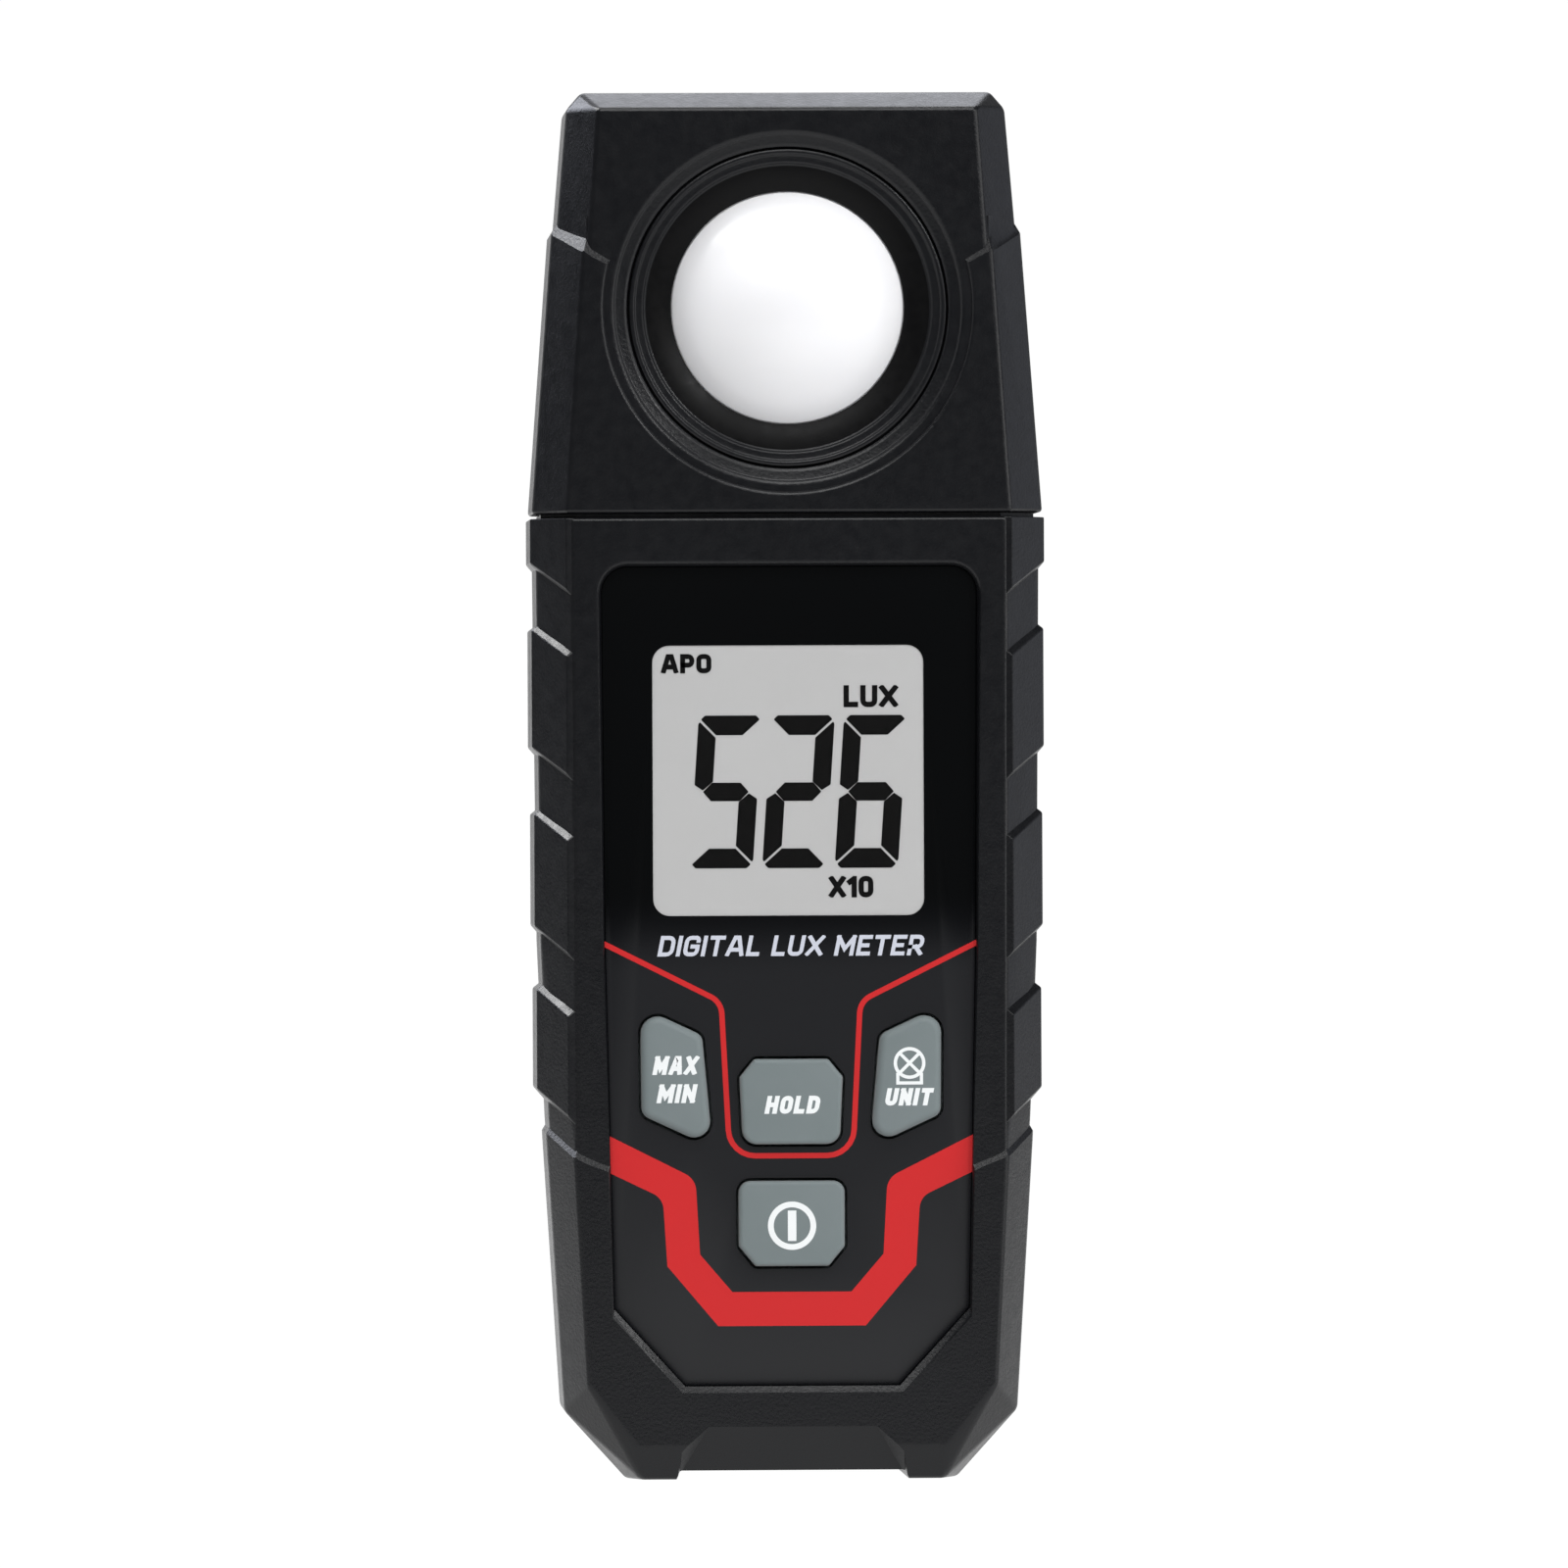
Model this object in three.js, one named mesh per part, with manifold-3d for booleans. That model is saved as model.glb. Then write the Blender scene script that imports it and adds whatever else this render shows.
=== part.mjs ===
// Handheld light meter with a sensor head that turns on the body.
// Millimetres. +Z runs up to the sensor head, the display faces -Y, X = 0 is the centre line.
// The meter stands on its two feet at Z = 0, and Y = 0 lies midway between dome and back.

import * as THREE from 'three';
import { ConvexGeometry } from 'three/addons/geometries/ConvexGeometry.js';
import { mergeVertices } from 'three/addons/utils/BufferGeometryUtils.js';
import Module from 'manifold-3d';

const wasm = await Module();
wasm.setup();

// ---------------------------------------------------------------- driving dimensions

const overallHeight = 155;
const bodyTop = 107.4;            // the body ends here
const headBottom = 107.9;         // and the head starts here, 0.5 above it
const backY = 17.5;               // flat back of body and head armour
const frontY = -12.5;             // front flat of body and head armour
const domeY = -17.5;              // front of the dome
const facetDepth = 5.5;           // the slanted facets run this far back from the front
const wall = 2;                   // moulded wall thickness
const fit = 0.3;                  // gap left between two pieces that touch
const swivelY = 2.5;              // the head turns about this vertical line, X = 0
const seamY = swivelY;            // the front and back shells meet here

const gripRise = 0.6;             // the side grip blocks stand this far proud
const bootRise = 0.4;             // so does the lower body, on its front
const armourRise = 0.4;           // and the lower part of the head
const footHeight = 0.95;          // hollow between the feet

const domeZ = 130.8;              // height of the dome's centre
const domeRadius = 12.9;
const collarRadius = 17.4;        // stepped ring round the dome
const collarHole = 17.9;
const dishRadius = 19.4;          // the head face slopes in from here to the collar
const armourCircle = 20.45;       // the head armour stops at this circle

const panelY = -11.6;             // face of the printed overlay
const overlayThickness = 0.4;
const panelFrontY = panelY + overlayThickness + 0.25;
const panelBackY = -9.0;
const panelFlange = 1.0;          // lip behind the case wall

const boardFrontY = -5.8;         // component side towards the buttons
const boardThickness = 1.6;
const buttonProudY = -12.7;       // face of the buttons
const buttonClearance = 0.4;
const buttonFlangeY = -8.6;
const buttonBackY = -7.8;

const cellRadius = 5.25;          // AAA cell, 10.5 x 44.5
const cellLength = 44.5;
const cellPitch = 10.9;
const cellY = 9.6;
const trayInner = { x: 16.5, low: 8, high: 60.4, floorY: 3.9 };
const trayWall = 1.2;
const door = { x: 18.6, low: 6.4, high: 67.4, thickness: 1.6, screwZ: 64 };

const bodyScrewPlaces = [[-20.6, 22], [20.6, 22], [-20.6, 101], [20.6, 101]];
const headScrewPlaces = [[-20, 113], [20, 113], [-17.5, 149], [17.5, 149]];
const tripod = { z: 84, bossRadius: 6.6, radius: 4.6, threadRadius: 3.1, frontY: 8, faceY: 17.2 };

// Half outlines, [x, z] from top to bottom. "side" is the widest outline, "flat" the
// outline of the front and back flats, and the slanted facets run between the two.
const bodySide = [[28.2, bodyTop], [27.8, 60], [27.0, 40.5], [25.0, 7.8], [18.3, 0]];
const bodyFlat = [[24.3, bodyTop], [24.0, 36], [22.5, 10.8], [17.4, 4], [16.2, 0]];
const gripSide = [[28.8, bodyTop], [28.5, 69], [28.15, 42]];
const gripFlat = [[24.9, bodyTop], [24.9, 69], [24.7, 38]];
const bootSide = [[27.5, 44], [27.25, 37.7], [25.4, 7.6], [18.5, 0]];
const bootFlat = [[24.3, 44], [24.2, 36], [22.8, 10.5], [17.6, 3.7], [16.4, 0]];
const headSide = [[22.9, overallHeight], [24.55, 153.1], [25.75, 139], [28.1, headBottom]];
const headFlat = [[21.1, 153.1], [22.15, 138], [24.3, headBottom]];
const armourSide = [[26.15, 141], [28.6, headBottom]];
const armourFlat = [[22.55, 141], [24.8, headBottom]];

// The edges of the grip blocks slope down towards the middle.
const gripBlocks = [
  { top: bodyTop + 8, bottom: 102.4 },
  { top: 94.9, bottom: 81.8 },
  { top: 74.3, bottom: 61.8 },
  { top: 54.7, bottom: 43.6 },
];
const gripSlope = 0.75;

// Outline of the panel, and the four buttons set in it, as [x, z, corner radius].
const panelHalf = [[20.95, 101.9, 2.9], [20.7, 60], [19.8, 19.1], [11.95, 10.5]];
const buttonOutlines = {
  button_max_min: [[-16.8, 52.8, 1.9], [-9.95, 49.6, 1.3], [-8.8, 37.05, 1.8], [-16.7, 40.7, 1.3]],
  button_hold: [
    [-4.1, 46.9, 0.5], [4.1, 46.9, 0.5], [5.75, 44.9, 0.5], [5.4, 37.4, 1.6], [-5.4, 37.4, 1.6],
    [-5.75, 44.9, 0.5],
  ],
  button_power: [
    [-5.9, 33.3, 1.3], [5.9, 33.3, 1.3], [5.9, 26, 0.5], [4.1, 23.8, 0.5], [-4.1, 23.8, 0.5],
    [-5.9, 26, 0.5],
  ],
};
buttonOutlines.button_unit = buttonOutlines.button_max_min.map(([x, z, r]) => [-x, z, r]);

// ---------------------------------------------------------------- finishes

const finish = (color, roughness, metalness = 0) =>
  new THREE.MeshStandardMaterial({ color, roughness, metalness });

const blackAbs = finish(0x1e1f21, 0.55);
const overlayPrint = finish(0x101113, 0.25);
const greySilicone = finish(0x798180, 0.6);
const opalAcrylic = finish(0xf2f3f5, 0.25);
const displayGlass = finish(0xc0c0c0, 0.2);
const clearFilter = finish(0x9fb8a8, 0.1);
const fibreBoard = finish(0x2c6a3a, 0.5);
const blackEpoxy = finish(0x151515, 0.4);
const whiteNylon = finish(0xd8d8d2, 0.5);
const brass = finish(0xb8964a, 0.35, 1);
const nickel = finish(0xc4c4c0, 0.3, 1);
const zincScrew = finish(0x2a2a2c, 0.4, 1);
const cellWrap = finish(0x3b4a5c, 0.4);
const redWire = finish(0xb02020, 0.5);
const blackRubber = finish(0x202020, 0.8);

// ---------------------------------------------------------------- solids

// A closed geometry as a solid that can be cut and joined.
function solid(geometry) {
  geometry.deleteAttribute('normal');
  geometry.deleteAttribute('uv');
  const merged = mergeVertices(geometry, 1e-4);
  return new wasm.Manifold(new wasm.Mesh({
    numProp: 3,
    vertProperties: new Float32Array(merged.attributes.position.array),
    triVerts: new Uint32Array(merged.index.array),
  }));
}

const join = (...solids) => solids.reduce((sum, next) => sum.add(next));
const cut = (base, ...tools) => tools.reduce((rest, tool) => rest.subtract(tool), base);

const group = new THREE.Group();

// Adds one named sub-part to the meter.
function part(name, shape, material) {
  const mesh = shape.getMesh();
  const geometry = new THREE.BufferGeometry();
  geometry.setAttribute('position', new THREE.BufferAttribute(mesh.vertProperties, 3));
  geometry.setIndex(new THREE.BufferAttribute(mesh.triVerts, 1));
  geometry.computeVertexNormals();
  const node = new THREE.Mesh(geometry, material);
  node.name = name;
  group.add(node);
}

// A block between two corners.
function block([x0, y0, z0], [x1, y1, z1]) {
  const box = new THREE.BoxGeometry(x1 - x0, y1 - y0, z1 - z0);
  return solid(box.translate((x0 + x1) / 2, (y0 + y1) / 2, (z0 + z1) / 2));
}

// A round bar along Y, with its axis through (x, z).
function barY(radius, y0, y1, x, z, sides = 20) {
  const bar = new THREE.CylinderGeometry(radius, radius, y1 - y0, sides);
  return solid(bar.translate(x, (y0 + y1) / 2, z));
}

// A turned piece about the Y direction through (x, z); the profile holds [radius, y] pairs.
function turnedY(profile, x, z, sides = 36) {
  const points = profile.map(([radius, y]) => new THREE.Vector2(radius, y));
  return solid(new THREE.LatheGeometry(points, sides).translate(x, 0, z));
}

// A turned piece about the Z direction through (x, y); the profile holds [radius, z] pairs.
function turnedZ(profile, x, y, sides = 20) {
  const points = profile.map(([radius, z]) => new THREE.Vector2(radius, z));
  return solid(new THREE.LatheGeometry(points, sides).rotateX(Math.PI / 2).translate(x, y, 0));
}

// Closes a profile that doesn't touch the axis.
const ring = (profile) => [...profile, profile[0]];

const mirrored = (half) => [...half, ...half.map(([x, z, r]) => [-x, z, r]).reverse()];

// A flat outline in X and Z whose corners may be rounded, given as [x, z, radius].
function outline(corners) {
  const shape = new THREE.Shape();
  const spots = corners.map(([x, z]) => new THREE.Vector2(x, z));
  spots.forEach((corner, index) => {
    const radius = corners[index][2] ?? 0;
    const back = spots.at(index - 1).clone().sub(corner).normalize();
    const ahead = spots[(index + 1) % spots.length].clone().sub(corner).normalize();
    const half = back.angleTo(ahead) / 2;
    const start = corner.clone().addScaledVector(back, radius / Math.tan(half));
    if (index === 0) shape.moveTo(start.x, start.y);
    else shape.lineTo(start.x, start.y);
    if (radius > 0) {
      const bisector = back.clone().add(ahead).normalize();
      const centre = corner.clone().addScaledVector(bisector, radius / Math.sin(half));
      const end = corner.clone().addScaledVector(ahead, radius / Math.tan(half));
      const from = start.sub(centre).angle();
      const to = end.sub(centre).angle();
      shape.absarc(centre.x, centre.y, radius, from, to, back.cross(ahead) > 0);
    }
  });
  return shape;
}

// The same outline with every edge moved outwards by "grow".
function grown(corners, grow) {
  const spots = corners.map(([x, z]) => new THREE.Vector2(x, z));
  const side = Math.sign(THREE.ShapeUtils.area(spots));
  const normal = (from, to) => {
    const along = to.clone().sub(from).normalize();
    return new THREE.Vector2(along.y * side, -along.x * side);
  };
  return corners.map(([x, z, radius = 0], index) => {
    const first = normal(spots.at(index - 1), spots[index]);
    const second = normal(spots[index], spots[(index + 1) % spots.length]);
    const reach = grow / (1 + first.dot(second));
    const shift = first.add(second).multiplyScalar(reach);
    return [x + shift.x, z + shift.y, radius > 0 ? radius + grow : 0];
  });
}

// A plate of that outline between two depths.
function plate(corners, y0, y1, grow = 0) {
  const shape = outline(grow === 0 ? corners : grown(corners, grow));
  const slab = new THREE.ExtrudeGeometry(shape, { depth: y1 - y0, curveSegments: 2, bevelEnabled: false });
  return solid(slab.rotateX(Math.PI / 2).translate(0, y1, 0));
}

// The convex body that wraps a stack of mirrored half outlines, each at its own depth.
function wrapped(sections) {
  const points = sections.flatMap(({ y, half }) =>
    half.flatMap(([x, z]) => [new THREE.Vector3(x, y, z), new THREE.Vector3(-x, y, z)]));
  return solid(new ConvexGeometry(points));
}

// A case half outline with slanted facets to both flats.
const faceted = (side, flat, y0 = frontY, y1 = backY) => wrapped([
  { y: y0, half: flat },
  { y: frontY + facetDepth, half: side },
  { y: backY - facetDepth, half: side },
  { y: y1, half: flat },
]);

const inset = (half, distance, top) =>
  half.map(([x, z]) => [x - distance, Math.min(z, top)]);

// A tube of round section along a curve.
function tube(curve, radius, steps, sides = 6) {
  const section = new THREE.Shape(
    Array.from({ length: sides }, (_, side) => {
      const angle = (side / sides) * 2 * Math.PI;
      return new THREE.Vector2(radius * Math.cos(angle), radius * Math.sin(angle));
    }));
  return solid(new THREE.ExtrudeGeometry(section, { steps, extrudePath: curve, bevelEnabled: false }));
}

const smoothRoute = (points) =>
  new THREE.CatmullRomCurve3(points.map(([x, y, z]) => new THREE.Vector3(x, y, z)));

// ---------------------------------------------------------------- outer shapes

const far = 60;                   // past every face of the meter
const frontHalf = block([-far, -far, -1], [far, seamY - fit / 2, overallHeight + 1]);
const backHalf = block([-far, seamY + fit / 2, -1], [far, far, overallHeight + 1]);

function bodyShape() {
  const gripZones = gripBlocks.flatMap(({ top, bottom }) => {
    const outer = 32;
    const inner = 20;
    const edge = (z, x) => z - (28.8 - x) * gripSlope;
    const corners = [
      [outer, edge(top, outer)], [outer, edge(bottom, outer)],
      [inner, edge(bottom, inner)], [inner, edge(top, inner)],
    ];
    return [corners, corners.map(([x, z]) => [-x, z])];
  });
  const zones = join(...gripZones.map((corners) => plate(corners, -far, far)));
  const grips = faceted(gripSide, gripFlat).intersect(zones);
  const bootZone = plate(
    mirrored([[20.5, 34.4], [24.2, 35.9], [27.3, 38.7], [32, 41.9], [32, -1]]), -far, far);
  const boot = faceted(bootSide, bootFlat, frontY - bootRise).intersect(bootZone);
  const footGap = plate(mirrored([[12.6, footHeight], [13.4, -1]]), -far, far);
  const frontRoll = wrapped([
    { y: frontY - 1, half: [[10.4, 6.6], [12.6, -1]] },
    { y: frontY - bootRise, half: [[10.4, 6.1]] },
    { y: frontY + 1.8, half: [[12.2, footHeight]] },
    { y: frontY + 2.6, half: [[12.6, -1]] },
  ]);
  return cut(join(faceted(bodySide, bodyFlat), grips, boot), footGap, frontRoll);
}

function headShape() {
  const armourZone = plate(
    mirrored([[19.9, 135.7], [22.8, 137], [26.25, 138.8], [30, 140.8], [30, 100]]), -far, far);
  const circle = barY(armourCircle, -far, frontY + armourRise, 0, domeZ, 36);
  const armour = cut(faceted(armourSide, armourFlat).intersect(armourZone), circle);
  return join(
    faceted(headSide, headFlat, frontY + armourRise, backY - armourRise),
    armour,
  );
}

const bodyOuter = bodyShape();
const headOuter = headShape();

// The bore of a boss that takes a screw from the back: counterbore, shank hole, pilot hole.
const screwSeatY = 9;
const screwHole = ([x, z]) => join(
  barY(2.5, screwSeatY, backY + 1, x, z, 16),
  barY(1.5, seamY - 1, screwSeatY + 1, x, z, 8),
  barY(1.4, seamY - 8, seamY, x, z, 8),
);

// A boss for it, tied to the side wall by a rib and kept inside the outer shape.
function boss([x, z], y0, y1, outer) {
  const outwardX = Math.sign(x) * 30;
  const rib = block([Math.min(x, outwardX), y0, z - 0.8], [Math.max(x, outwardX), y1, z + 0.8]);
  return join(barY(2.6, y0, y1, x, z, 16), rib).intersect(outer);
}

// ---------------------------------------------------------------- swivel

const neck = { radius: 6, bore: 4, flange: 9, low: 100.4, high: 112.3 };
const neckHole = (radius, z0, z1) =>
  turnedZ([[0, z0], [radius, z0], [radius, z1], [0, z1]], 0, swivelY);

part('swivel_neck', turnedZ(ring([
  [neck.bore, neck.low], [neck.flange, neck.low], [neck.flange, 102.3], [neck.radius, 102.3],
  [neck.radius, headBottom + wall + fit], [neck.flange, headBottom + wall + fit],
  [neck.flange, neck.high], [neck.bore, neck.high],
]), 0, swivelY), whiteNylon);

part('friction_ring', turnedZ(ring([
  [neck.radius + fit, 102.6], [neck.flange, 102.6], [neck.flange, 103.2],
  [neck.radius + fit, 103.2],
]), 0, swivelY), blackRubber);

const bushRadius = 8;
part('swivel_bush', turnedZ(ring([
  [neck.radius + fit, 103.5], [9.6, 103.5], [9.6, bodyTop - wall - fit],
  [bushRadius, bodyTop - wall - fit], [bushRadius, bodyTop + 0.2],
  [neck.radius + fit, bodyTop + 0.2],
]), 0, swivelY), whiteNylon);

// ---------------------------------------------------------------- body shells

const bodyCavity = faceted(
  inset(bodySide, wall, bodyTop - wall).map(([x, z]) => [x, Math.max(z, footHeight + wall)]),
  inset(bodyFlat, wall, bodyTop - wall).map(([x, z]) => [x, Math.max(z, 5)]),
  frontY + wall, backY - wall);

const panelCorners = mirrored(panelHalf);
const frontBossY = -8.4;

function frontCase() {
  const shell = cut(bodyOuter.intersect(frontHalf), bodyCavity);
  const bosses = bodyScrewPlaces.map((place) => boss(place, frontBossY, seamY - fit / 2, bodyOuter));
  return cut(
    join(shell, ...bosses),
    plate(panelCorners, -far, frontY + wall + 1, fit),
    ...bodyScrewPlaces.map(screwHole),
    neckHole(bushRadius + fit, bodyTop - wall - 1, bodyTop + 1),
  );
}
part('front_case', frontCase(), blackAbs);

function backCase() {
  const shell = cut(bodyOuter.intersect(backHalf), bodyCavity);
  const trayOuter = block(
    [-trayInner.x - trayWall, trayInner.floorY - trayWall, trayInner.low - trayWall],
    [trayInner.x + trayWall, backY - 1, trayInner.high + trayWall]);
  const trayHollow = block(
    [-trayInner.x, trayInner.floorY, trayInner.low],
    [trayInner.x, backY + 1, trayInner.high]);
  const doorSeat = plate(
    mirrored([[door.x + fit, door.high + fit, 2], [door.x + fit, door.low - fit, 2]]),
    backY - door.thickness - fit, backY + 1);
  const doorBoss = block([-2.8, trayInner.floorY, trayInner.high], [2.8, backY - 1, door.high]);
  const doorRim = block([-door.x - 1, backY - 4, door.low - 1], [door.x + 1, backY - 1, door.high + 1]);
  const tripodBoss = barY(tripod.bossRadius, tripod.frontY - 2, backY - 1, 0, tripod.z, 24);
  const bosses = bodyScrewPlaces.map((place) => boss(place, seamY + fit / 2, backY - 1, bodyOuter));
  const ribbed = join(shell, trayOuter, doorBoss, tripodBoss, doorRim.intersect(bodyOuter), ...bosses);
  return cut(
    ribbed,
    trayHollow,
    doorSeat,
    barY(1.4, 8, backY, 0, door.screwZ, 12),
    barY(tripod.radius + fit, tripod.frontY - fit, backY + 1, 0, tripod.z, 24),
    ...bodyScrewPlaces.map(screwHole),
    neckHole(bushRadius + fit, bodyTop - wall - 1, bodyTop + 1),
  );
}
part('back_case', backCase(), blackAbs);

// ---------------------------------------------------------------- front panel

const buttonHoles = Object.values(buttonOutlines).map((corners) =>
  plate(corners, panelY - 1, panelBackY + 1, buttonClearance));

const display = { x: 18.2, low: 59.6, high: 96, frontY: panelFrontY, backY: -9.1 };
const displayHole = block(
  [-display.x - fit, panelFrontY - 1, display.low - fit],
  [display.x + fit, panelBackY + 1, display.high + fit]);

part('front_panel', cut(
  join(
    plate(panelCorners, panelFrontY, panelBackY),
    plate(panelCorners, frontY + wall + fit, panelBackY, panelFlange),
  ),
  displayHole,
  ...buttonHoles,
), blackAbs);

part('panel_overlay', cut(
  plate(panelCorners, panelY, panelY + overlayThickness),
  ...buttonHoles,
), overlayPrint);

// ---------------------------------------------------------------- display

// The glass fills the panel's opening and stands on a frame; the backlight lies in the frame,
// and the elastomer strip joins the glass's lower edge to the board.
const frameBar = 1.6;
const stripLow = display.low + frameBar + fit;
const stripHigh = stripLow + 2.2;
part('lcd_glass', block(
  [-display.x, display.frontY, display.low], [display.x, display.backY, display.high]), displayGlass);
part('lcd_holder', cut(
  block([-display.x - 1.5, panelBackY + fit, display.low - 1.5],
    [display.x + 1.5, boardFrontY - fit, display.high + 1.5]),
  block([-display.x + frameBar, -far, display.low + frameBar],
    [display.x - frameBar, far, display.high - frameBar]),
), whiteNylon);
part('zebra_strip', block(
  [-display.x + frameBar + fit, panelBackY + fit, stripLow],
  [display.x - frameBar - fit, boardFrontY - fit, stripHigh]), blackRubber);
part('backlight_panel', block(
  [-display.x + frameBar + fit, panelBackY + fit, stripHigh + fit],
  [display.x - frameBar - fit, panelBackY + fit + 0.9, display.high - frameBar - fit]), whiteNylon);

// ---------------------------------------------------------------- main board

const boardBackY = boardFrontY + boardThickness;
const board = { x: 17.8, low: 12, high: 98.5 };
part('main_pcb', block([-board.x, boardFrontY, board.low], [board.x, boardBackY, board.high]), fibreBoard);
part('meter_chip', block([-7, boardBackY + fit, 70], [7, boardBackY + fit + 1.6, 84]), blackEpoxy);
part('crystal_can', block([9.5, boardBackY + fit, 74], [12.5, boardBackY + fit + 2.4, 82]), nickel);

// ---------------------------------------------------------------- buttons

// The rubber sheet that the buttons stand on, with room for each button's foot.
const buttonFoot = 0.8;
part('keypad_mat', cut(
  plate(mirrored([[19.2, 56.5, 1.5], [19.2, 28, 1], [14, 20.5, 1.5]]), -8.5, -7.4),
  ...Object.values(buttonOutlines).map((corners) => plate(corners, -9, -7, buttonFoot + 0.4)),
), greySilicone);

for (const [name, corners] of Object.entries(buttonOutlines)) {
  const spots = corners.map(([x, z]) => new THREE.Vector2(x, z));
  const middle = new THREE.Box2().setFromPoints(spots).getCenter(new THREE.Vector2());
  part(name, join(
    plate(corners, buttonProudY, buttonBackY),
    plate(corners, buttonFlangeY, buttonBackY, buttonFoot),
  ), greySilicone);
  part(name.replace('button', 'carbon_pill'),
    barY(2, buttonBackY + fit, buttonBackY + fit + 0.6, middle.x, middle.y, 16), blackRubber);
}

// ---------------------------------------------------------------- batteries

// Cells 1 and 3 point up, cell 2 points down, and the three are in series.
const cells = [-1, 0, 1].map((column) => ({
  x: column * cellPitch,
  up: column !== 0,
}));
const cellTopZ = trayInner.high - 1.2;
const cellBottomZ = trayInner.low + 1.2;
const springTurns = 3.5;

class SpringCurve extends THREE.Curve {
  constructor(x, wideZ, narrowZ) {
    super();
    Object.assign(this, { x, wideZ, narrowZ });
  }

  getPoint(t) {
    const radius = 3.6 - 1.2 * t;
    const angle = t * springTurns * 2 * Math.PI;
    const z = this.wideZ + (this.narrowZ - this.wideZ) * t;
    return new THREE.Vector3(this.x + radius * Math.cos(angle), cellY + radius * Math.sin(angle), z);
  }
}

cells.forEach(({ x, up }, index) => {
  const flip = up ? 1 : -1;
  const nubZ = up ? cellTopZ : cellBottomZ;
  const along = (distance) => nubZ - flip * distance;
  const profile = [
    [0, along(0)], [1.9, along(0)], [1.9, along(1)], [4.4, along(1.2)], [cellRadius, along(1.8)],
    [cellRadius, along(cellLength - 0.5)], [4.6, along(cellLength)], [0, along(cellLength)],
  ];
  const outward = up ? profile.toReversed() : profile;
  part(`battery_${index + 1}`, turnedZ(outward, x, cellY), cellWrap);
  const wideZ = up ? trayInner.low + 1.35 : trayInner.high - 1.35;
  const narrowZ = along(cellLength + 0.6);
  part(`battery_spring_${index + 1}`, tube(new SpringCurve(x, wideZ, narrowZ), 0.35, 28, 5), nickel);
});

const contactPlate = (x0, x1, top) => {
  const z = top ? trayInner.high - 0.7 : trayInner.low + 0.3;
  return block([x0 - 4.4, cellY - 4.6, z], [x1 + 4.4, cellY + 4.6, z + 0.4]);
};
part('contact_plate_positive', contactPlate(-cellPitch, -cellPitch, true), nickel);
part('contact_bridge_top', contactPlate(0, cellPitch, true), nickel);
part('contact_bridge_bottom', contactPlate(-cellPitch, 0, false), nickel);
part('contact_plate_negative', contactPlate(cellPitch, cellPitch, false), nickel);

part('battery_lead_positive', tube(smoothRoute([
  [-11, 6.5, 62.6], [-11, 3.5, 63.4], [-11, 0, 65], [-11, -2.6, 66], [-11, -3.8, 66.2],
]), 0.6, 14, 6), redWire);
part('battery_lead_negative', tube(smoothRoute([
  [11, 1.6, 8.6], [11, 0.4, 9.6], [11, -1, 12], [11, -2.4, 14.4], [11, -3.8, 15.2],
]), 0.6, 14, 6), blackRubber);

// ---------------------------------------------------------------- battery door

const doorInnerY = backY - door.thickness;
part('battery_door', cut(
  plate(mirrored([[door.x, door.high, 2], [door.x, door.low, 2]]), doorInnerY, backY),
  barY(1.5, doorInnerY - 1, backY + 1, 0, door.screwZ, 16),
  barY(2.6, backY - 0.9, backY + 1, 0, door.screwZ, 20),
), blackAbs);

// A cross-recessed screw whose head faces the back; headY is the top of the head.
function screw(x, z, headY, headRadius, headHeight, shankRadius, length) {
  const under = headY - headHeight;
  const body = turnedY([
    [0, under - length], [shankRadius, under - length + 0.8], [shankRadius, under],
    [headRadius, under], [headRadius, headY - headHeight * 0.4], [headRadius * 0.75, headY],
    [0, headY],
  ], x, z, 10);
  const slot = (wide, high) => block(
    [x - wide, headY - headHeight * 0.6, z - high], [x + wide, headY + 1, z + high]);
  return cut(body, slot(headRadius * 0.55, 0.3), slot(0.3, headRadius * 0.55));
}
part('battery_door_screw', screw(0, door.screwZ, backY - 0.1, 2.3, 0.5, 1.1, 7), zincScrew);

const caseScrew = ([x, z]) => screw(x, z, screwSeatY + fit + 1.7, 2.2, 1.7, 1.1, 12.5);
bodyScrewPlaces.forEach((place, index) => part(`case_screw_${index + 1}`, caseScrew(place), zincScrew));
headScrewPlaces.forEach((place, index) => part(`head_screw_${index + 1}`, caseScrew(place), zincScrew));

// ---------------------------------------------------------------- tripod insert

part('tripod_insert', cut(
  barY(tripod.radius, tripod.frontY, tripod.faceY, 0, tripod.z, 24),
  barY(tripod.threadRadius, tripod.frontY + 1, tripod.faceY + 1, 0, tripod.z, 24),
), brass);

// ---------------------------------------------------------------- head shells

const headFrontInnerY = frontY + armourRise + wall;
const headCavity = faceted(
  [[21.6, overallHeight - wall], [22.6, 151], [23.75, 139], [26.1, headBottom + wall]],
  [[19.4, 151], [20.2, 138], [22.3, headBottom + wall]],
  headFrontInnerY, backY - armourRise - wall);

const headNeckHole = neckHole(neck.radius + fit, headBottom - 1, headBottom + wall + 1);

// The dished seat of the collar: a slope down to a straight hole.
const dish = turnedY([
  [0, -far], [dishRadius, -far], [dishRadius, frontY + armourRise],
  [collarHole, frontY + armourRise + 0.8], [collarHole, headFrontInnerY + 1],
  [0, headFrontInnerY + 1],
], 0, domeZ);

function headCase(half, bossFrom, bossTo) {
  const shell = cut(headOuter.intersect(half), headCavity);
  const bosses = headScrewPlaces.map((place) => boss(place, bossFrom, bossTo, headOuter));
  return cut(join(shell, ...bosses), dish, ...headScrewPlaces.map(screwHole), headNeckHole);
}
part('head_front_case', headCase(frontHalf, headFrontInnerY, seamY - fit / 2), blackAbs);
part('head_back_case', headCase(backHalf, seamY + fit / 2, backY - 1), blackAbs);

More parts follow.
